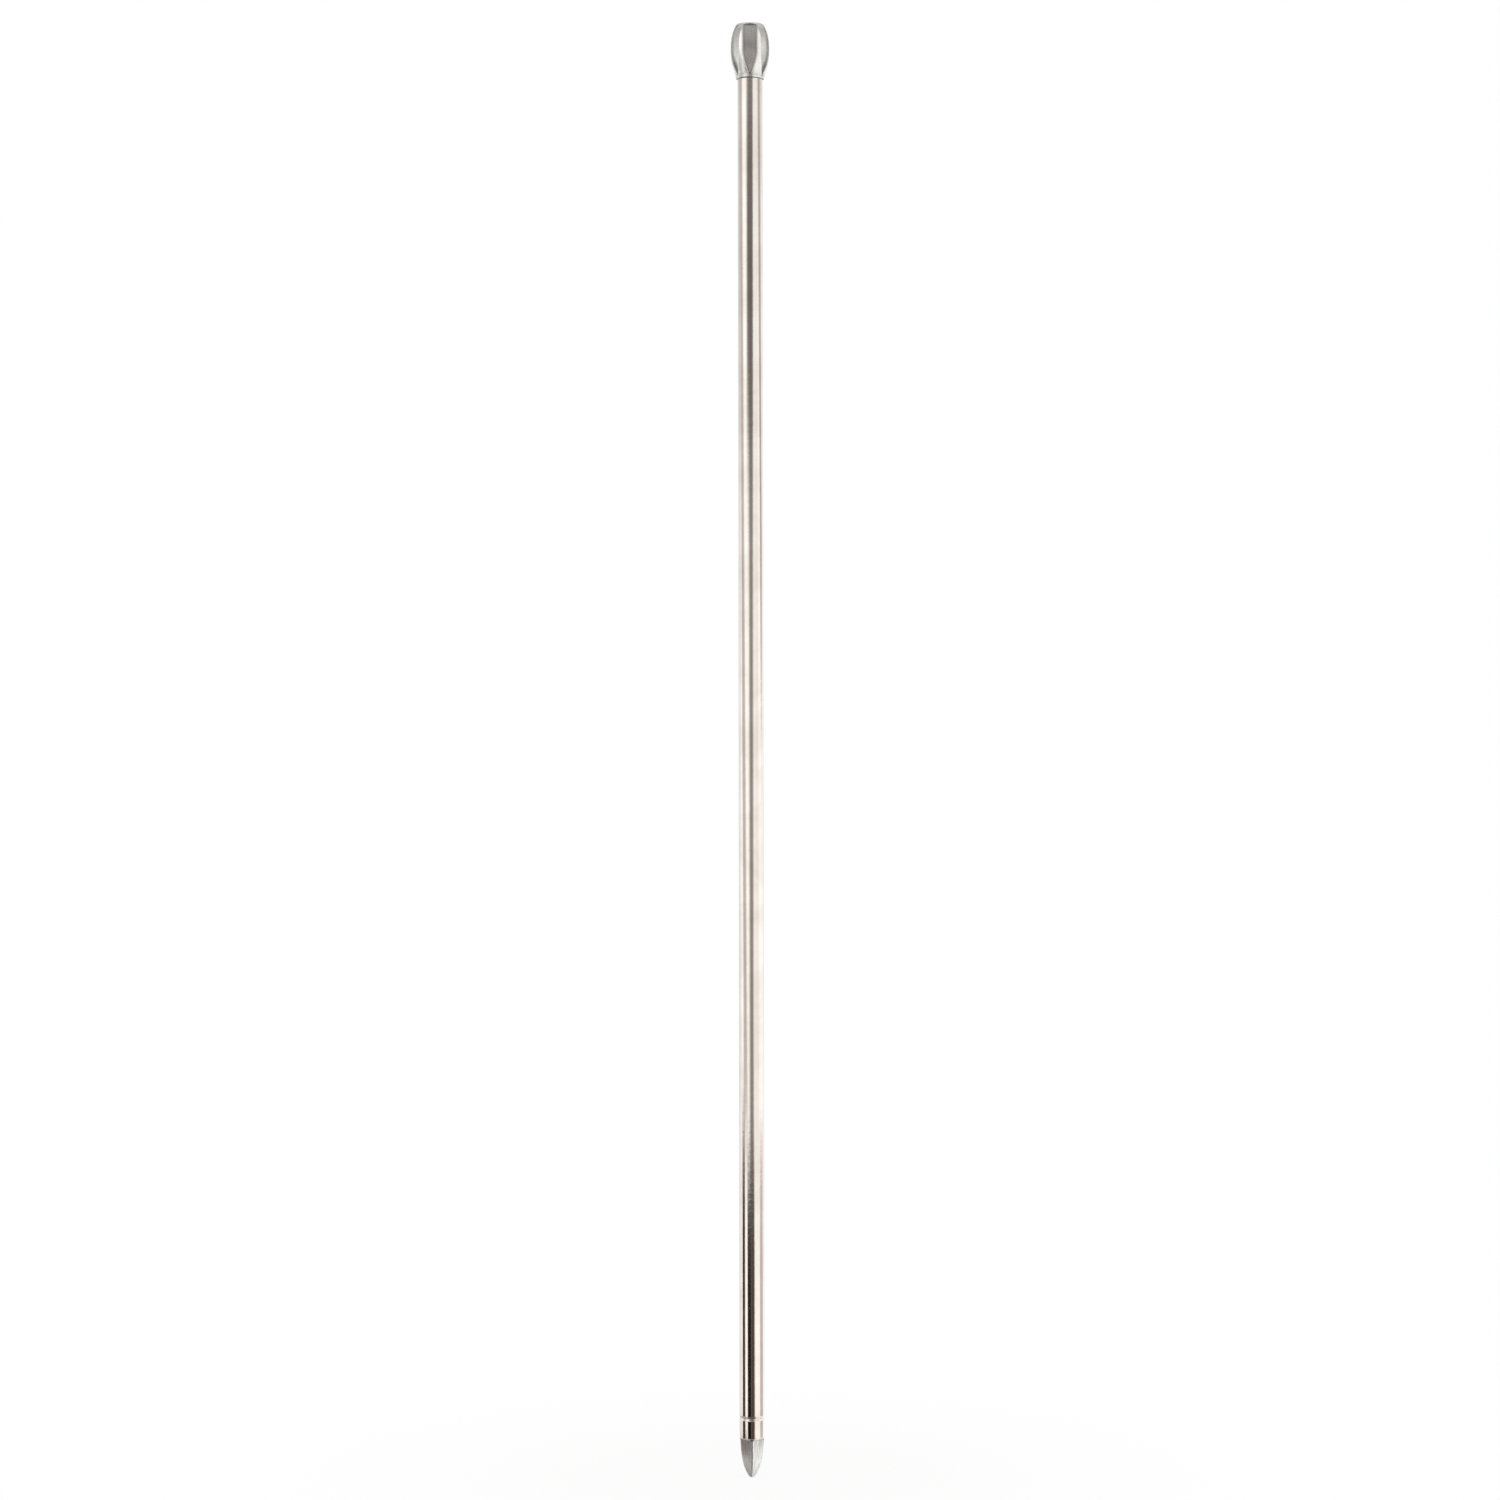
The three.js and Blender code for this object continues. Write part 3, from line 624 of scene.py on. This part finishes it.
# %% Node helpers
def add_node(tree, kind, inputs=None, **settings):
    """Adds a node, sets its properties, and fills its inputs with values or links."""
    made = tree.nodes.new(kind)
    for key, value in settings.items():
        setattr(made, key, value)
    for key, value in (inputs or {}).items():
        if isinstance(value, bpy.types.NodeSocket):
            tree.links.new(value, made.inputs[key])
        else:
            made.inputs[key].default_value = value
    return made


def calculate(tree, operation, first, second=0.0):
    """One step of arithmetic."""
    return add_node(tree, "ShaderNodeMath", {0: first, 1: second}, operation=operation).outputs[0]


def mix_colour(tree, factor, first, second, blend="MIX"):
    """A mix of two colours: first + factor (second - first), or their product with MULTIPLY."""
    made = add_node(
        tree, "ShaderNodeMix", {0: factor, 6: first, 7: second}, data_type="RGBA", blend_type=blend,
    )
    return made.outputs[2]


def spread(tree, value, low, high):
    """Maps a mask from 0..1 to low..high."""
    made = add_node(tree, "ShaderNodeMapRange", {"Value": value, "To Min": low, "To Max": high})
    return made.outputs["Result"]


def bump(tree, strength, height, normal=None):
    """A bump of up to 0.1 mm times the strength, on top of another normal if one is given."""
    inputs = {"Strength": strength, "Distance": 0.1 * MM, "Height": height}
    if normal is not None:
        inputs["Normal"] = normal
    return add_node(tree, "ShaderNodeBump", inputs).outputs["Normal"]


def group(name, ins, outs):
    """An empty node group with the given sockets, as (name, type, default) and (name, type)."""
    tree = bpy.data.node_groups.new(name, "ShaderNodeTree")
    for label, kind, default in ins:
        made = tree.interface.new_socket(label, in_out="INPUT", socket_type=kind)
        made.default_value = default
    for label, kind in outs:
        tree.interface.new_socket(label, in_out="OUTPUT", socket_type=kind)
    given = tree.nodes.new("NodeGroupInput").outputs
    return tree, given, tree.nodes.new("NodeGroupOutput").inputs


def use_group(tree, source, inputs=None):
    """Puts a node group into a material."""
    return add_node(tree, "ShaderNodeGroup", inputs, node_tree=source).outputs


COLOUR, VALUE, VECTOR = "NodeSocketColor", "NodeSocketFloat", "NodeSocketVector"
print("Node helpers are ready")

# %% [markdown]
# ## Blotchy tone
#
# Three effects are shared by several finishes, so each is a node group that gets its own values in
# every material. The first is a soft change of tone, because no plate or plastic has quite one
# colour. It could be painted on a texture, but noise on the object's coordinates needs no
# unwrapping.

# %% Blotchy tone
blotch, given, made = group(
    "Blotchy tone",
    [("Light", COLOUR, (1, 1, 1, 1)), ("Dark", COLOUR, (0, 0, 0, 1)), ("Scale", VALUE, 100.0)],
    [("Color", COLOUR), ("Mask", VALUE)],
)
place = add_node(blotch, "ShaderNodeTexCoord").outputs["Object"]
broad = add_node(blotch, "ShaderNodeTexNoise", {
    "Vector": place, "Scale": given["Scale"], "Detail": 5.0, "Roughness": 0.62, "Distortion": 0.4,
})
mask = add_node(
    blotch, "ShaderNodeMapRange",
    {"Value": broad.outputs["Fac"], "From Min": 0.36, "From Max": 0.66},
    interpolation_type="SMOOTHSTEP",
).outputs["Result"]
blotch.links.new(mix_colour(blotch, mask, given["Dark"], given["Light"]), made["Color"])
blotch.links.new(mask, made["Mask"])
print("Nodes in the blotchy tone:", len(blotch.nodes))

# %% [markdown]
# ## Drawn lines
#
# A die, a belt or a lathe tool leaves fine lines in one direction. A wave texture could draw them,
# but it repeats. Noise that is squeezed across the piece and stretched along it never does.

# %% Drawn lines
drawn, given, made = group(
    "Drawn lines", [("Across", VALUE, 900.0), ("Along", VALUE, 14.0)], [("Mask", VALUE)],
)
place = add_node(drawn, "ShaderNodeTexCoord").outputs["Object"]
stretch = add_node(
    drawn, "ShaderNodeCombineXYZ",
    {"X": given["Across"], "Y": given["Across"], "Z": given["Along"]},
).outputs["Vector"]
stretched = add_node(
    drawn, "ShaderNodeVectorMath", {0: place, 1: stretch}, operation="MULTIPLY",
).outputs["Vector"]
lines = add_node(
    drawn, "ShaderNodeTexNoise",
    {"Vector": stretched, "Scale": 1.0, "Detail": 3.0, "Roughness": 0.7},
)
drawn.links.new(lines.outputs["Fac"], made["Mask"])
print("Nodes in the drawn lines:", len(drawn.nodes))

# %% [markdown]
# ## Fine grain
#
# Blasted metal and moulded plastic have a skin of small pits. Real pits in the mesh would cost
# millions of points, so the group only tilts the normal, and it gives the pits as a mask too.

# %% Fine grain
grain, given, made = group(
    "Fine grain", [("Scale", VALUE, 1500.0), ("Depth", VALUE, 0.1)],
    [("Normal", VECTOR), ("Mask", VALUE)],
)
place = add_node(grain, "ShaderNodeTexCoord").outputs["Object"]
pits = add_node(
    grain, "ShaderNodeTexNoise",
    {"Vector": place, "Scale": given["Scale"], "Detail": 4.0, "Roughness": 0.6},
)
bumped = add_node(
    grain, "ShaderNodeBump",
    {"Strength": given["Depth"], "Distance": 0.2 * MM, "Height": pits.outputs["Fac"]},
)
grain.links.new(bumped.outputs["Normal"], made["Normal"])
grain.links.new(pits.outputs["Fac"], made["Mask"])
print("Nodes in the fine grain:", len(grain.nodes))

# %% [markdown]
# ## Nickel plate
#
# Nickel is a warm metal. On the tubes it is bright, so its tone comes almost wholly from what it
# mirrors, and only faint drawn lines and blotches break the bands. The plate also keeps a very
# shallow orange peel, which makes the edges of the mirrored bands run a little uneven. A painted
# shade in brown grey under the groove's upper edge comes from the mesh's attribute.


# %% Nickel
def material(name):
    """An empty material and its principled shader."""
    made = bpy.data.materials.new(name)
    made.use_nodes = True
    return made, made.node_tree, made.node_tree.nodes["Principled BSDF"]


def two_tones(tree, light, dark, scale):
    """The blotchy tone between two colours."""
    colours = {"Light": (*light, 1), "Dark": (*dark, 1)}
    return use_group(tree, blotch, {**colours, "Scale": scale})["Color"]


def light_and_tone_of(tree):
    """The attribute that darkens the finish (mostly painted shade) or lightens it (a painted
    highlight on the collar, lighter lands).
    """
    return add_node(tree, "ShaderNodeAttribute", attribute_name="light_and_tone").outputs["Fac"]


nickel, tree, shader = material("nickel_plate")
shader.inputs["Metallic"].default_value = 1.0
tones = two_tones(tree, (0.80, 0.77, 0.73), (0.72, 0.68, 0.63), 45.0)
# Painted shade under the groove's upper edge: the tone goes a quarter of the way to a brown grey.
groove_shade = mix_colour(tree, spread(tree, light_and_tone_of(tree), 0.0, 0.25), tones, (0.26, 0.21, 0.18, 1))
marks = use_group(tree, drawn)["Mask"]
peel = use_group(tree, grain, {"Scale": 420.0, "Depth": 0.14})["Normal"]
tree.links.new(groove_shade, shader.inputs["Base Color"])
tree.links.new(spread(tree, marks, 0.05, 0.13), shader.inputs["Roughness"])
tree.links.new(bump(tree, 0.04, marks, peel), shader.inputs["Normal"])
print("Nodes in the nickel:", len(tree.nodes))

# %% [markdown]
# ## Plated castings
#
# The castings were plated over a blasted skin, so they are satin and a little mottled. The head
# kept that skin. The point was ground on a belt, which left long light and dark lines. Both are one
# function with two sets of values: positive marks take the tone down to a brown grey, mostly as
# painted shade, and negative marks make it lighter and smoother, on the point's collar as a
# painted highlight.


# %% Castings
def casting(name, streak, shade, rough):
    """A plated casting; `streak` and `shade` are the bump and the darkness of its ground lines."""
    made, tree, shader = material(name)
    shader.inputs["Metallic"].default_value = 1.0
    tones = two_tones(tree, (0.80, 0.81, 0.79), (0.73, 0.735, 0.715), 420.0)
    skin = use_group(tree, grain, {"Scale": 2400.0, "Depth": 0.10})["Normal"]
    ground = use_group(tree, drawn, {"Across": 1000.0, "Along": 12.0})["Mask"]
    light_and_tone_value = light_and_tone_of(tree)
    # Negative values lighten and smooth the tone: a painted highlight on the point's collar, and
    # lighter lands on the head.
    edge = add_node(
        tree, "ShaderNodeMapRange", {"Value": light_and_tone_value, "From Max": -1.0, "To Max": 0.7},
    ).outputs["Result"]
    stripe = add_node(tree, "ShaderNodeMapRange", {
        "Value": ground, "From Min": 0.38, "From Max": 0.56, "To Min": 1 - shade, "To Max": 1.0,
    }).outputs["Result"]
    lightened = mix_colour(tree, edge, tones, (0.86, 0.84, 0.81, 1))
    # Positive values take the tone to a brown grey: painted shade in the hollows, under the ledge and
    # at the head's base, and darker towards the nose and in the socket.
    darkened = mix_colour(tree, spread(tree, light_and_tone_value, 0.0, 0.8), lightened, (0.16, 0.145, 0.13, 1))
    striped = mix_colour(tree, calculate(tree, "SUBTRACT", 1.0, edge), darkened, stripe, "MULTIPLY")
    broken = spread(tree, ground, rough - 0.05, rough + 0.05)
    smoother = calculate(tree, "MULTIPLY", edge, 0.1)
    tree.links.new(striped, shader.inputs["Base Color"])
    tree.links.new(calculate(tree, "SUBTRACT", broken, smoother), shader.inputs["Roughness"])
    tree.links.new(bump(tree, streak, ground, skin), shader.inputs["Normal"])
    return made


cast = casting("plated_casting", 0.02, 0.03, 0.28)
ground_point = casting("ground_point", 0.22, 0.26, 0.24)
print("Castings:", cast.name, "and", ground_point.name)

# %% [markdown]
# ## Plastics, plated steel and brass
#
# The pieces of the lock show only when the stick is taken apart, or deep in the mouth at full draw.
# The plastics have two close tones and a fine grain. The nuts and the stud were turned, so their
# lines run round the axis: the same drawn lines, with the two scales exchanged.


# %% Plastics and turned metals
def plastic(name, light, dark, rough):
    """A moulded plastic: two close tones, a fine grain and a soft shine."""
    made, tree, shader = material(name)
    skin = use_group(tree, grain, {"Scale": 2600.0, "Depth": 0.12})
    shine = spread(tree, skin["Mask"], rough - 0.08, rough + 0.08)
    tree.links.new(two_tones(tree, light, dark, 300.0), shader.inputs["Base Color"])
    tree.links.new(shine, shader.inputs["Roughness"])
    tree.links.new(skin["Normal"], shader.inputs["Normal"])
    return made


def turned_metal(name, light, dark, rough):
    """A turned metal: rings round the axis in the bump and in the roughness."""
    made, tree, shader = material(name)
    shader.inputs["Metallic"].default_value = 1.0
    rings = use_group(tree, drawn, {"Across": 60.0, "Along": 6000.0})["Mask"]
    tree.links.new(two_tones(tree, light, dark, 200.0), shader.inputs["Base Color"])
    tree.links.new(spread(tree, rings, rough - 0.1, rough + 0.1), shader.inputs["Roughness"])
    tree.links.new(bump(tree, 0.1, rings), shader.inputs["Normal"])
    return made


acetal = plastic("black_acetal", (0.030, 0.031, 0.034), (0.018, 0.018, 0.020), 0.45)
nylon = plastic("natural_nylon", (0.72, 0.69, 0.61), (0.62, 0.59, 0.51), 0.5)
zinc = turned_metal("plated_steel", (0.72, 0.73, 0.75), (0.58, 0.60, 0.63), 0.32)
brass = turned_metal("turned_brass", (0.78, 0.58, 0.28), (0.62, 0.44, 0.19), 0.3)
print("Inside finishes:", [finish.name for finish in (acetal, nylon, zinc, brass)])

# %% [markdown]
# ## A finish for every piece
#
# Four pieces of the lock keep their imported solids, because they are plain turned and slotted shapes
# that a new surface wouldn't improve. They get a finish like the rest, so that nothing in the file
# is plain grey.

# %% Finishes on the pieces
finishes = {
    outer_tube: nickel, inner_tube: nickel, head: cast, point: ground_point,
    bush: acetal, stud: zinc,
    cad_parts["lock_plug"]: acetal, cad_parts["expander"]: nylon,
    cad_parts["cone_nut"]: brass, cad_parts["stop_nut"]: zinc,
}
for piece, finish in finishes.items():
    piece.data.materials.clear()
    piece.data.materials.append(finish)
print("Finishes:", sorted({finish.name for finish in finishes.values()}))

# %% [markdown]
# ## Studio
#
# A mirror-bright tube shows nothing but its surroundings, drawn out into upright bands. Such metal
# is photographed in a light tent: a cylinder of white cloth, lit from outside, with the camera
# looking in through a gap. The tent here glows evenly, and strips of grey and brown stand for the
# gap, its seams and the dark room below it. Each strip is placed by its angle from the camera and
# its height, and has soft edges, because cloth does. An image could light the scene too, but strips
# can be moved one by one until the bands on the tube are right.

# %% A strip of the tent as a node group
strip, given, made = group(
    "Tent strip",
    [("Azimuth", VALUE, 0.0), ("Height", VALUE, 0.0), ("First", VALUE, -10.0),
     ("Last", VALUE, 10.0), ("Soft", VALUE, 5.0), ("Lean", VALUE, 0.0), ("Low", VALUE, -1.0),
     ("High", VALUE, 2.0), ("Fade", VALUE, 0.1)],
    [("Mask", VALUE)],
)


def between(tree, value, low, high, soft):
    """A window: (tanh((v - low) / soft) - tanh((v - high) / soft)) / 2."""
    rise, fall = (
        calculate(
            tree, "TANH", calculate(tree, "DIVIDE", calculate(tree, "SUBTRACT", value, edge), soft),
        )
        for edge in (low, high)
    )
    return calculate(tree, "MULTIPLY", calculate(tree, "SUBTRACT", rise, fall), 0.5)


above_middle = calculate(strip, "SUBTRACT", given["Height"], 1.0)
leaning = calculate(strip, "MULTIPLY", above_middle, given["Lean"])
upright = calculate(strip, "SUBTRACT", given["Azimuth"], leaning)
across = between(strip, upright, given["First"], given["Last"], given["Soft"])
along = between(strip, given["Height"], given["Low"], given["High"], given["Fade"])
strip.links.new(calculate(strip, "MULTIPLY", across, along), made["Mask"])
print("Nodes in a strip:", len(strip.nodes))

# %% [markdown]
# ## Where the strips hang
#
# Each upright band on a real tube stands for something in the studio, and a band that stops part of
# the way up stands for something that ends there. So every strip was placed from the band that it
# makes. Azimuth 0 is behind the camera and positive angles are on its right. Heights are in metres.

# %% The strips
tent_strips = [
    # name, first and last azimuth, soft edge, lean, lowest and highest, fade, radiance
    ("back left", -190, -108, 6, 0, -3.0, 9.0, 0.1, (1.05, 1.04, 1.02)),
    ("back right", 118, 190, 6, 0, -3.0, 9.0, 0.1, (1.22, 1.20, 1.18)),
    ("rear gap left", -200, -166, 6, 0, -3.0, 9.0, 0.1, (0.28, 0.25, 0.24)),
    ("rear gap right", 162, 200, 6, 0, -3.0, 9.0, 0.1, (0.28, 0.25, 0.24)),
    ("camera gap", -16, 22, 9, 0, -1.0, 1.9, 0.1, (0.32, 0.275, 0.26)),
    ("upper gap", -34, 24, 8, 0, 1.02, 1.7, 0.12, (0.185, 0.155, 0.15)),
    ("high gap", -30, 30, 8, 0, 1.7, 9.0, 0.2, (0.34, 0.33, 0.325)),
    ("high back left", -150, -108, 8, 0, 0.85, 9.0, 0.2, (0.72, 0.71, 0.70)),
    ("high back right", 100, 150, 8, 0, 1.30, 9.0, 0.3, (0.74, 0.72, 0.70)),
    ("top left", -150, -80, 8, 0, 1.8, 9.0, 0.25, (0.38, 0.37, 0.36)),
    ("top right", 85, 150, 8, 0, 1.8, 9.0, 0.25, (0.40, 0.39, 0.38)),
    ("right wall", 32, 76, 7, 0, -0.2, 9.0, 0.2, (1.10, 1.08, 1.06)),
    ("ceiling", -200, 200, 8, 0, 3.2, 9.0, 0.3, (0.50, 0.49, 0.48)),
    ("foot left", -200, -50, 6, 0, -8.0, -0.72, 0.08, (0.64, 0.61, 0.59)),
    ("foot right", 50, 200, 6, 0, -8.0, -0.45, 0.08, (1.25, 1.24, 1.22)),
    ("low back left", -200, -156, 8, 0, -3.0, 0.45, 0.15, (0.50, 0.49, 0.47)),
    ("foot front", -50, 40, 6, 0, -8.0, -0.95, 0.08, (0.20, 0.155, 0.135)),
    ("left seam", -105, -69, 6, -30, -0.05, 1.9, 0.06, (0.64, 0.59, 0.58)),
    ("right seam", 91, 119, 6, -30, 0.55, 1.7, 0.1, (0.50, 0.46, 0.45)),
    ("low left seam", -98, -66, 3, 0, -0.95, -0.05, 0.06, (0.08, 0.04, 0.03)),
    ("low right seam", 82, 124, 4, 0, -0.78, -0.1, 0.05, (0.70, 0.62, 0.60)),
    ("low gap right", -7, 25, 3, 0, -1.2, -0.1, 0.05, (0.10, 0.07, 0.055)),
    ("low gap left", -41, -7, 2.5, 0, -1.2, -0.1, 0.05, (0.015, 0.008, 0.005)),
]
print("Tent strips:", len(tent_strips))

# %% [markdown]
# ## The tent's cloth
#
# The cloth glows evenly, and the strips are laid over it one by one, so that a later one covers an
# earlier one. Separate glowing sheets could hang there instead, but their soft edges would each
# need a transparent shader, and those are slow to trace.

# %% The tent's cloth
CLOTH_GLOW = (1.32, 1.30, 1.27, 1)
cloth, tree, shader = material("tent")
place = add_node(tree, "ShaderNodeTexCoord").outputs["Object"]
xyz = add_node(tree, "ShaderNodeSeparateXYZ", {"Vector": place}).outputs
turn = calculate(tree, "ARCTAN2", xyz["X"], calculate(tree, "MULTIPLY", xyz["Y"], -1.0))
azimuth = calculate(tree, "MULTIPLY", turn, 180 / np.pi)
glow = CLOTH_GLOW
for name, first, last, soft, lean, low, high, fade, radiance in tent_strips:
    mask = use_group(tree, strip, {
        "Azimuth": azimuth, "Height": xyz["Z"], "First": first, "Last": last, "Soft": soft,
        "Lean": lean, "Low": low, "High": high, "Fade": fade,
    })["Mask"]
    mask.node.label = name
    glow = mix_colour(tree, mask, glow, (*radiance, 1))
cloth_light = add_node(tree, "ShaderNodeEmission", {"Color": glow, "Strength": 1.0}).outputs[0]
tree.links.new(cloth_light, tree.nodes["Material Output"].inputs["Surface"])
print("Nodes in the cloth:", len(tree.nodes))

# %% [markdown]
# ## The tent and the lamp above it
#
# The tent is a plain cylinder that the camera looks through. It throws no shadow, so that it
# doesn't hold back the world's light. One large soft lamp overhead lights the plastics and the floor
# from above. It is hidden from mirrors, because a real one would hang outside the cloth. A row of
# lamps round the stick could replace the tent, but each would show as a hard bright line.

# %% Tent and lamp
TENT_RADIUS, TENT_FOOT, TENT_TOP, TENT_COLUMNS = 2600.0, -7000.0, 8000.0, 96
LAMP_SIZE, LAMP_HEIGHT, LAMP_WATTS = 2.0, 3.0, 1.2 * np.pi * 4.0
tent_outline = np.array([[TENT_RADIUS, TENT_FOOT], [TENT_RADIUS, TENT_TOP]])
tent_points = spin(tent_outline, TENT_COLUMNS) * MM
tent_mesh = bpy.data.meshes.new("tent")
tent_mesh.from_pydata(tent_points.reshape(-1, 3), [], grid_faces(2, TENT_COLUMNS))
tent_mesh.materials.append(cloth)
tent = bpy.data.objects.new("tent", tent_mesh)
scene.collection.objects.link(tent)
tent.visible_camera = False
tent.visible_shadow = False

top_light = bpy.data.lights.new("top_lamp", "AREA")
top_light.shape, top_light.size, top_light.energy = "SQUARE", LAMP_SIZE, LAMP_WATTS
top_lamp = bpy.data.objects.new("top_lamp", top_light)
top_lamp.location = (0, 0, LAMP_HEIGHT)
top_lamp.visible_camera = False
top_lamp.visible_glossy = False
scene.collection.objects.link(top_lamp)
print("The lamp gives", round(LAMP_WATTS, 1), "W")

# %% [markdown]
# ## A white ground
#
# A catalogue picture has a plain white background. More light would wash out the plate, so the
# white comes from the colour alone: camera, glossy and transmission rays see white at strength 1,
# and all other rays see a dimmer grey.

# %% World
SEEN_WHITE, WORLD_GREY = (1, 1, 1, 1), (0.6, 0.6, 0.6, 1)
world = bpy.data.worlds.new("studio")
scene.world = world
world.use_nodes = True
tree = world.node_tree
tree.nodes.clear()
path = add_node(tree, "ShaderNodeLightPath").outputs
seen = add_node(tree, "ShaderNodeBackground", {"Color": SEEN_WHITE, "Strength": 1.0}).outputs[0]
lit = add_node(tree, "ShaderNodeBackground", {"Color": WORLD_GREY, "Strength": 1.0}).outputs[0]
mirrored = calculate(tree, "MAXIMUM", path["Is Glossy Ray"], path["Is Transmission Ray"])
shown = calculate(tree, "MAXIMUM", path["Is Camera Ray"], mirrored)
both = add_node(tree, "ShaderNodeMixShader", {0: shown, 1: lit, 2: seen})
add_node(tree, "ShaderNodeOutputWorld", {"Surface": both.outputs[0]})
print("Nodes in the world:", len(tree.nodes))

# %% [markdown]
# ## The floor
#
# The stick stands on a pale sheet that is as white as the background. Near the foot the sheet stays
# partly matt, so that it keeps the stick's soft shadow. Further out it only glows white for the
# camera, so that no horizon shows. A shadow catcher could do the same, but here the share of glow
# at the foot sets how dark the shadow is.

# %% Floor
FLOOR_HALF, FLOOR_MATT = 6.0, (0.9, 0.9, 0.9, 1)
SHADOW_REACH, WHITE_REACH, GLOW_AT_FOOT = 0.02, 0.3, 0.91
floor_corners = FLOOR_HALF * np.array([[-1, -1, 0], [1, -1, 0], [1, 1, 0], [-1, 1, 0]])
floor_mesh = bpy.data.meshes.new("floor")
floor_mesh.from_pydata(floor_corners, [], [(0, 1, 2, 3)])
floor = bpy.data.objects.new("floor", floor_mesh)
scene.collection.objects.link(floor)
floor.visible_glossy = False
floor_paint, tree, shader = material("floor")
path = add_node(tree, "ShaderNodeLightPath").outputs
matt = add_node(tree, "ShaderNodeBsdfDiffuse", {"Color": FLOOR_MATT}).outputs[0]
glow = add_node(tree, "ShaderNodeEmission", {"Color": SEEN_WHITE, "Strength": 1.0}).outputs[0]
place = add_node(tree, "ShaderNodeTexCoord").outputs["Object"]
reach = add_node(tree, "ShaderNodeVectorMath", {0: place}, operation="LENGTH").outputs["Value"]
glowing = add_node(
    tree, "ShaderNodeMapRange",
    {"Value": reach, "From Min": SHADOW_REACH, "From Max": WHITE_REACH, "To Min": GLOW_AT_FOOT,
     "To Max": 1.0},
    interpolation_type="SMOOTHSTEP",
).outputs["Result"]
pale = add_node(tree, "ShaderNodeMixShader", {0: glowing, 1: matt, 2: glow}).outputs[0]
chosen = add_node(tree, "ShaderNodeMixShader", {0: path["Is Camera Ray"], 1: matt, 2: pale})
tree.links.new(chosen.outputs[0], tree.nodes["Material Output"].inputs["Surface"])
floor_mesh.materials.append(floor_paint)
print("The floor is white beyond", WHITE_REACH, "m")

# %% [markdown]
# ## The camera
#
# The stick fills the height of a square picture, seen level from half its height. The lens follows
# from the distance: the sensor's width over the focal length is the picture's height over the
# distance. A closer camera would curve the collar's line more, and a farther one less.

# %% Camera
FRAME_HEIGHT, CAMERA_DISTANCE, CAMERA_HEIGHT, CAMERA_SIDE = 0.77475, 1.76, 0.3756, -0.00054
SENSOR_WIDTH, CAMERA_ROLL = 36.0, np.radians(0.09)
camera_data = bpy.data.cameras.new("camera")
camera_data.sensor_width = SENSOR_WIDTH
camera_data.lens = SENSOR_WIDTH * CAMERA_DISTANCE / FRAME_HEIGHT
camera = bpy.data.objects.new("camera", camera_data)
camera.location = (CAMERA_SIDE, -CAMERA_DISTANCE, CAMERA_HEIGHT)
camera.rotation_euler = (np.pi / 2, CAMERA_ROLL, 0)
scene.collection.objects.link(camera)
scene.camera = camera
scene.view_settings.view_transform = "Standard"
print("Lens:", round(camera_data.lens, 2), "mm")
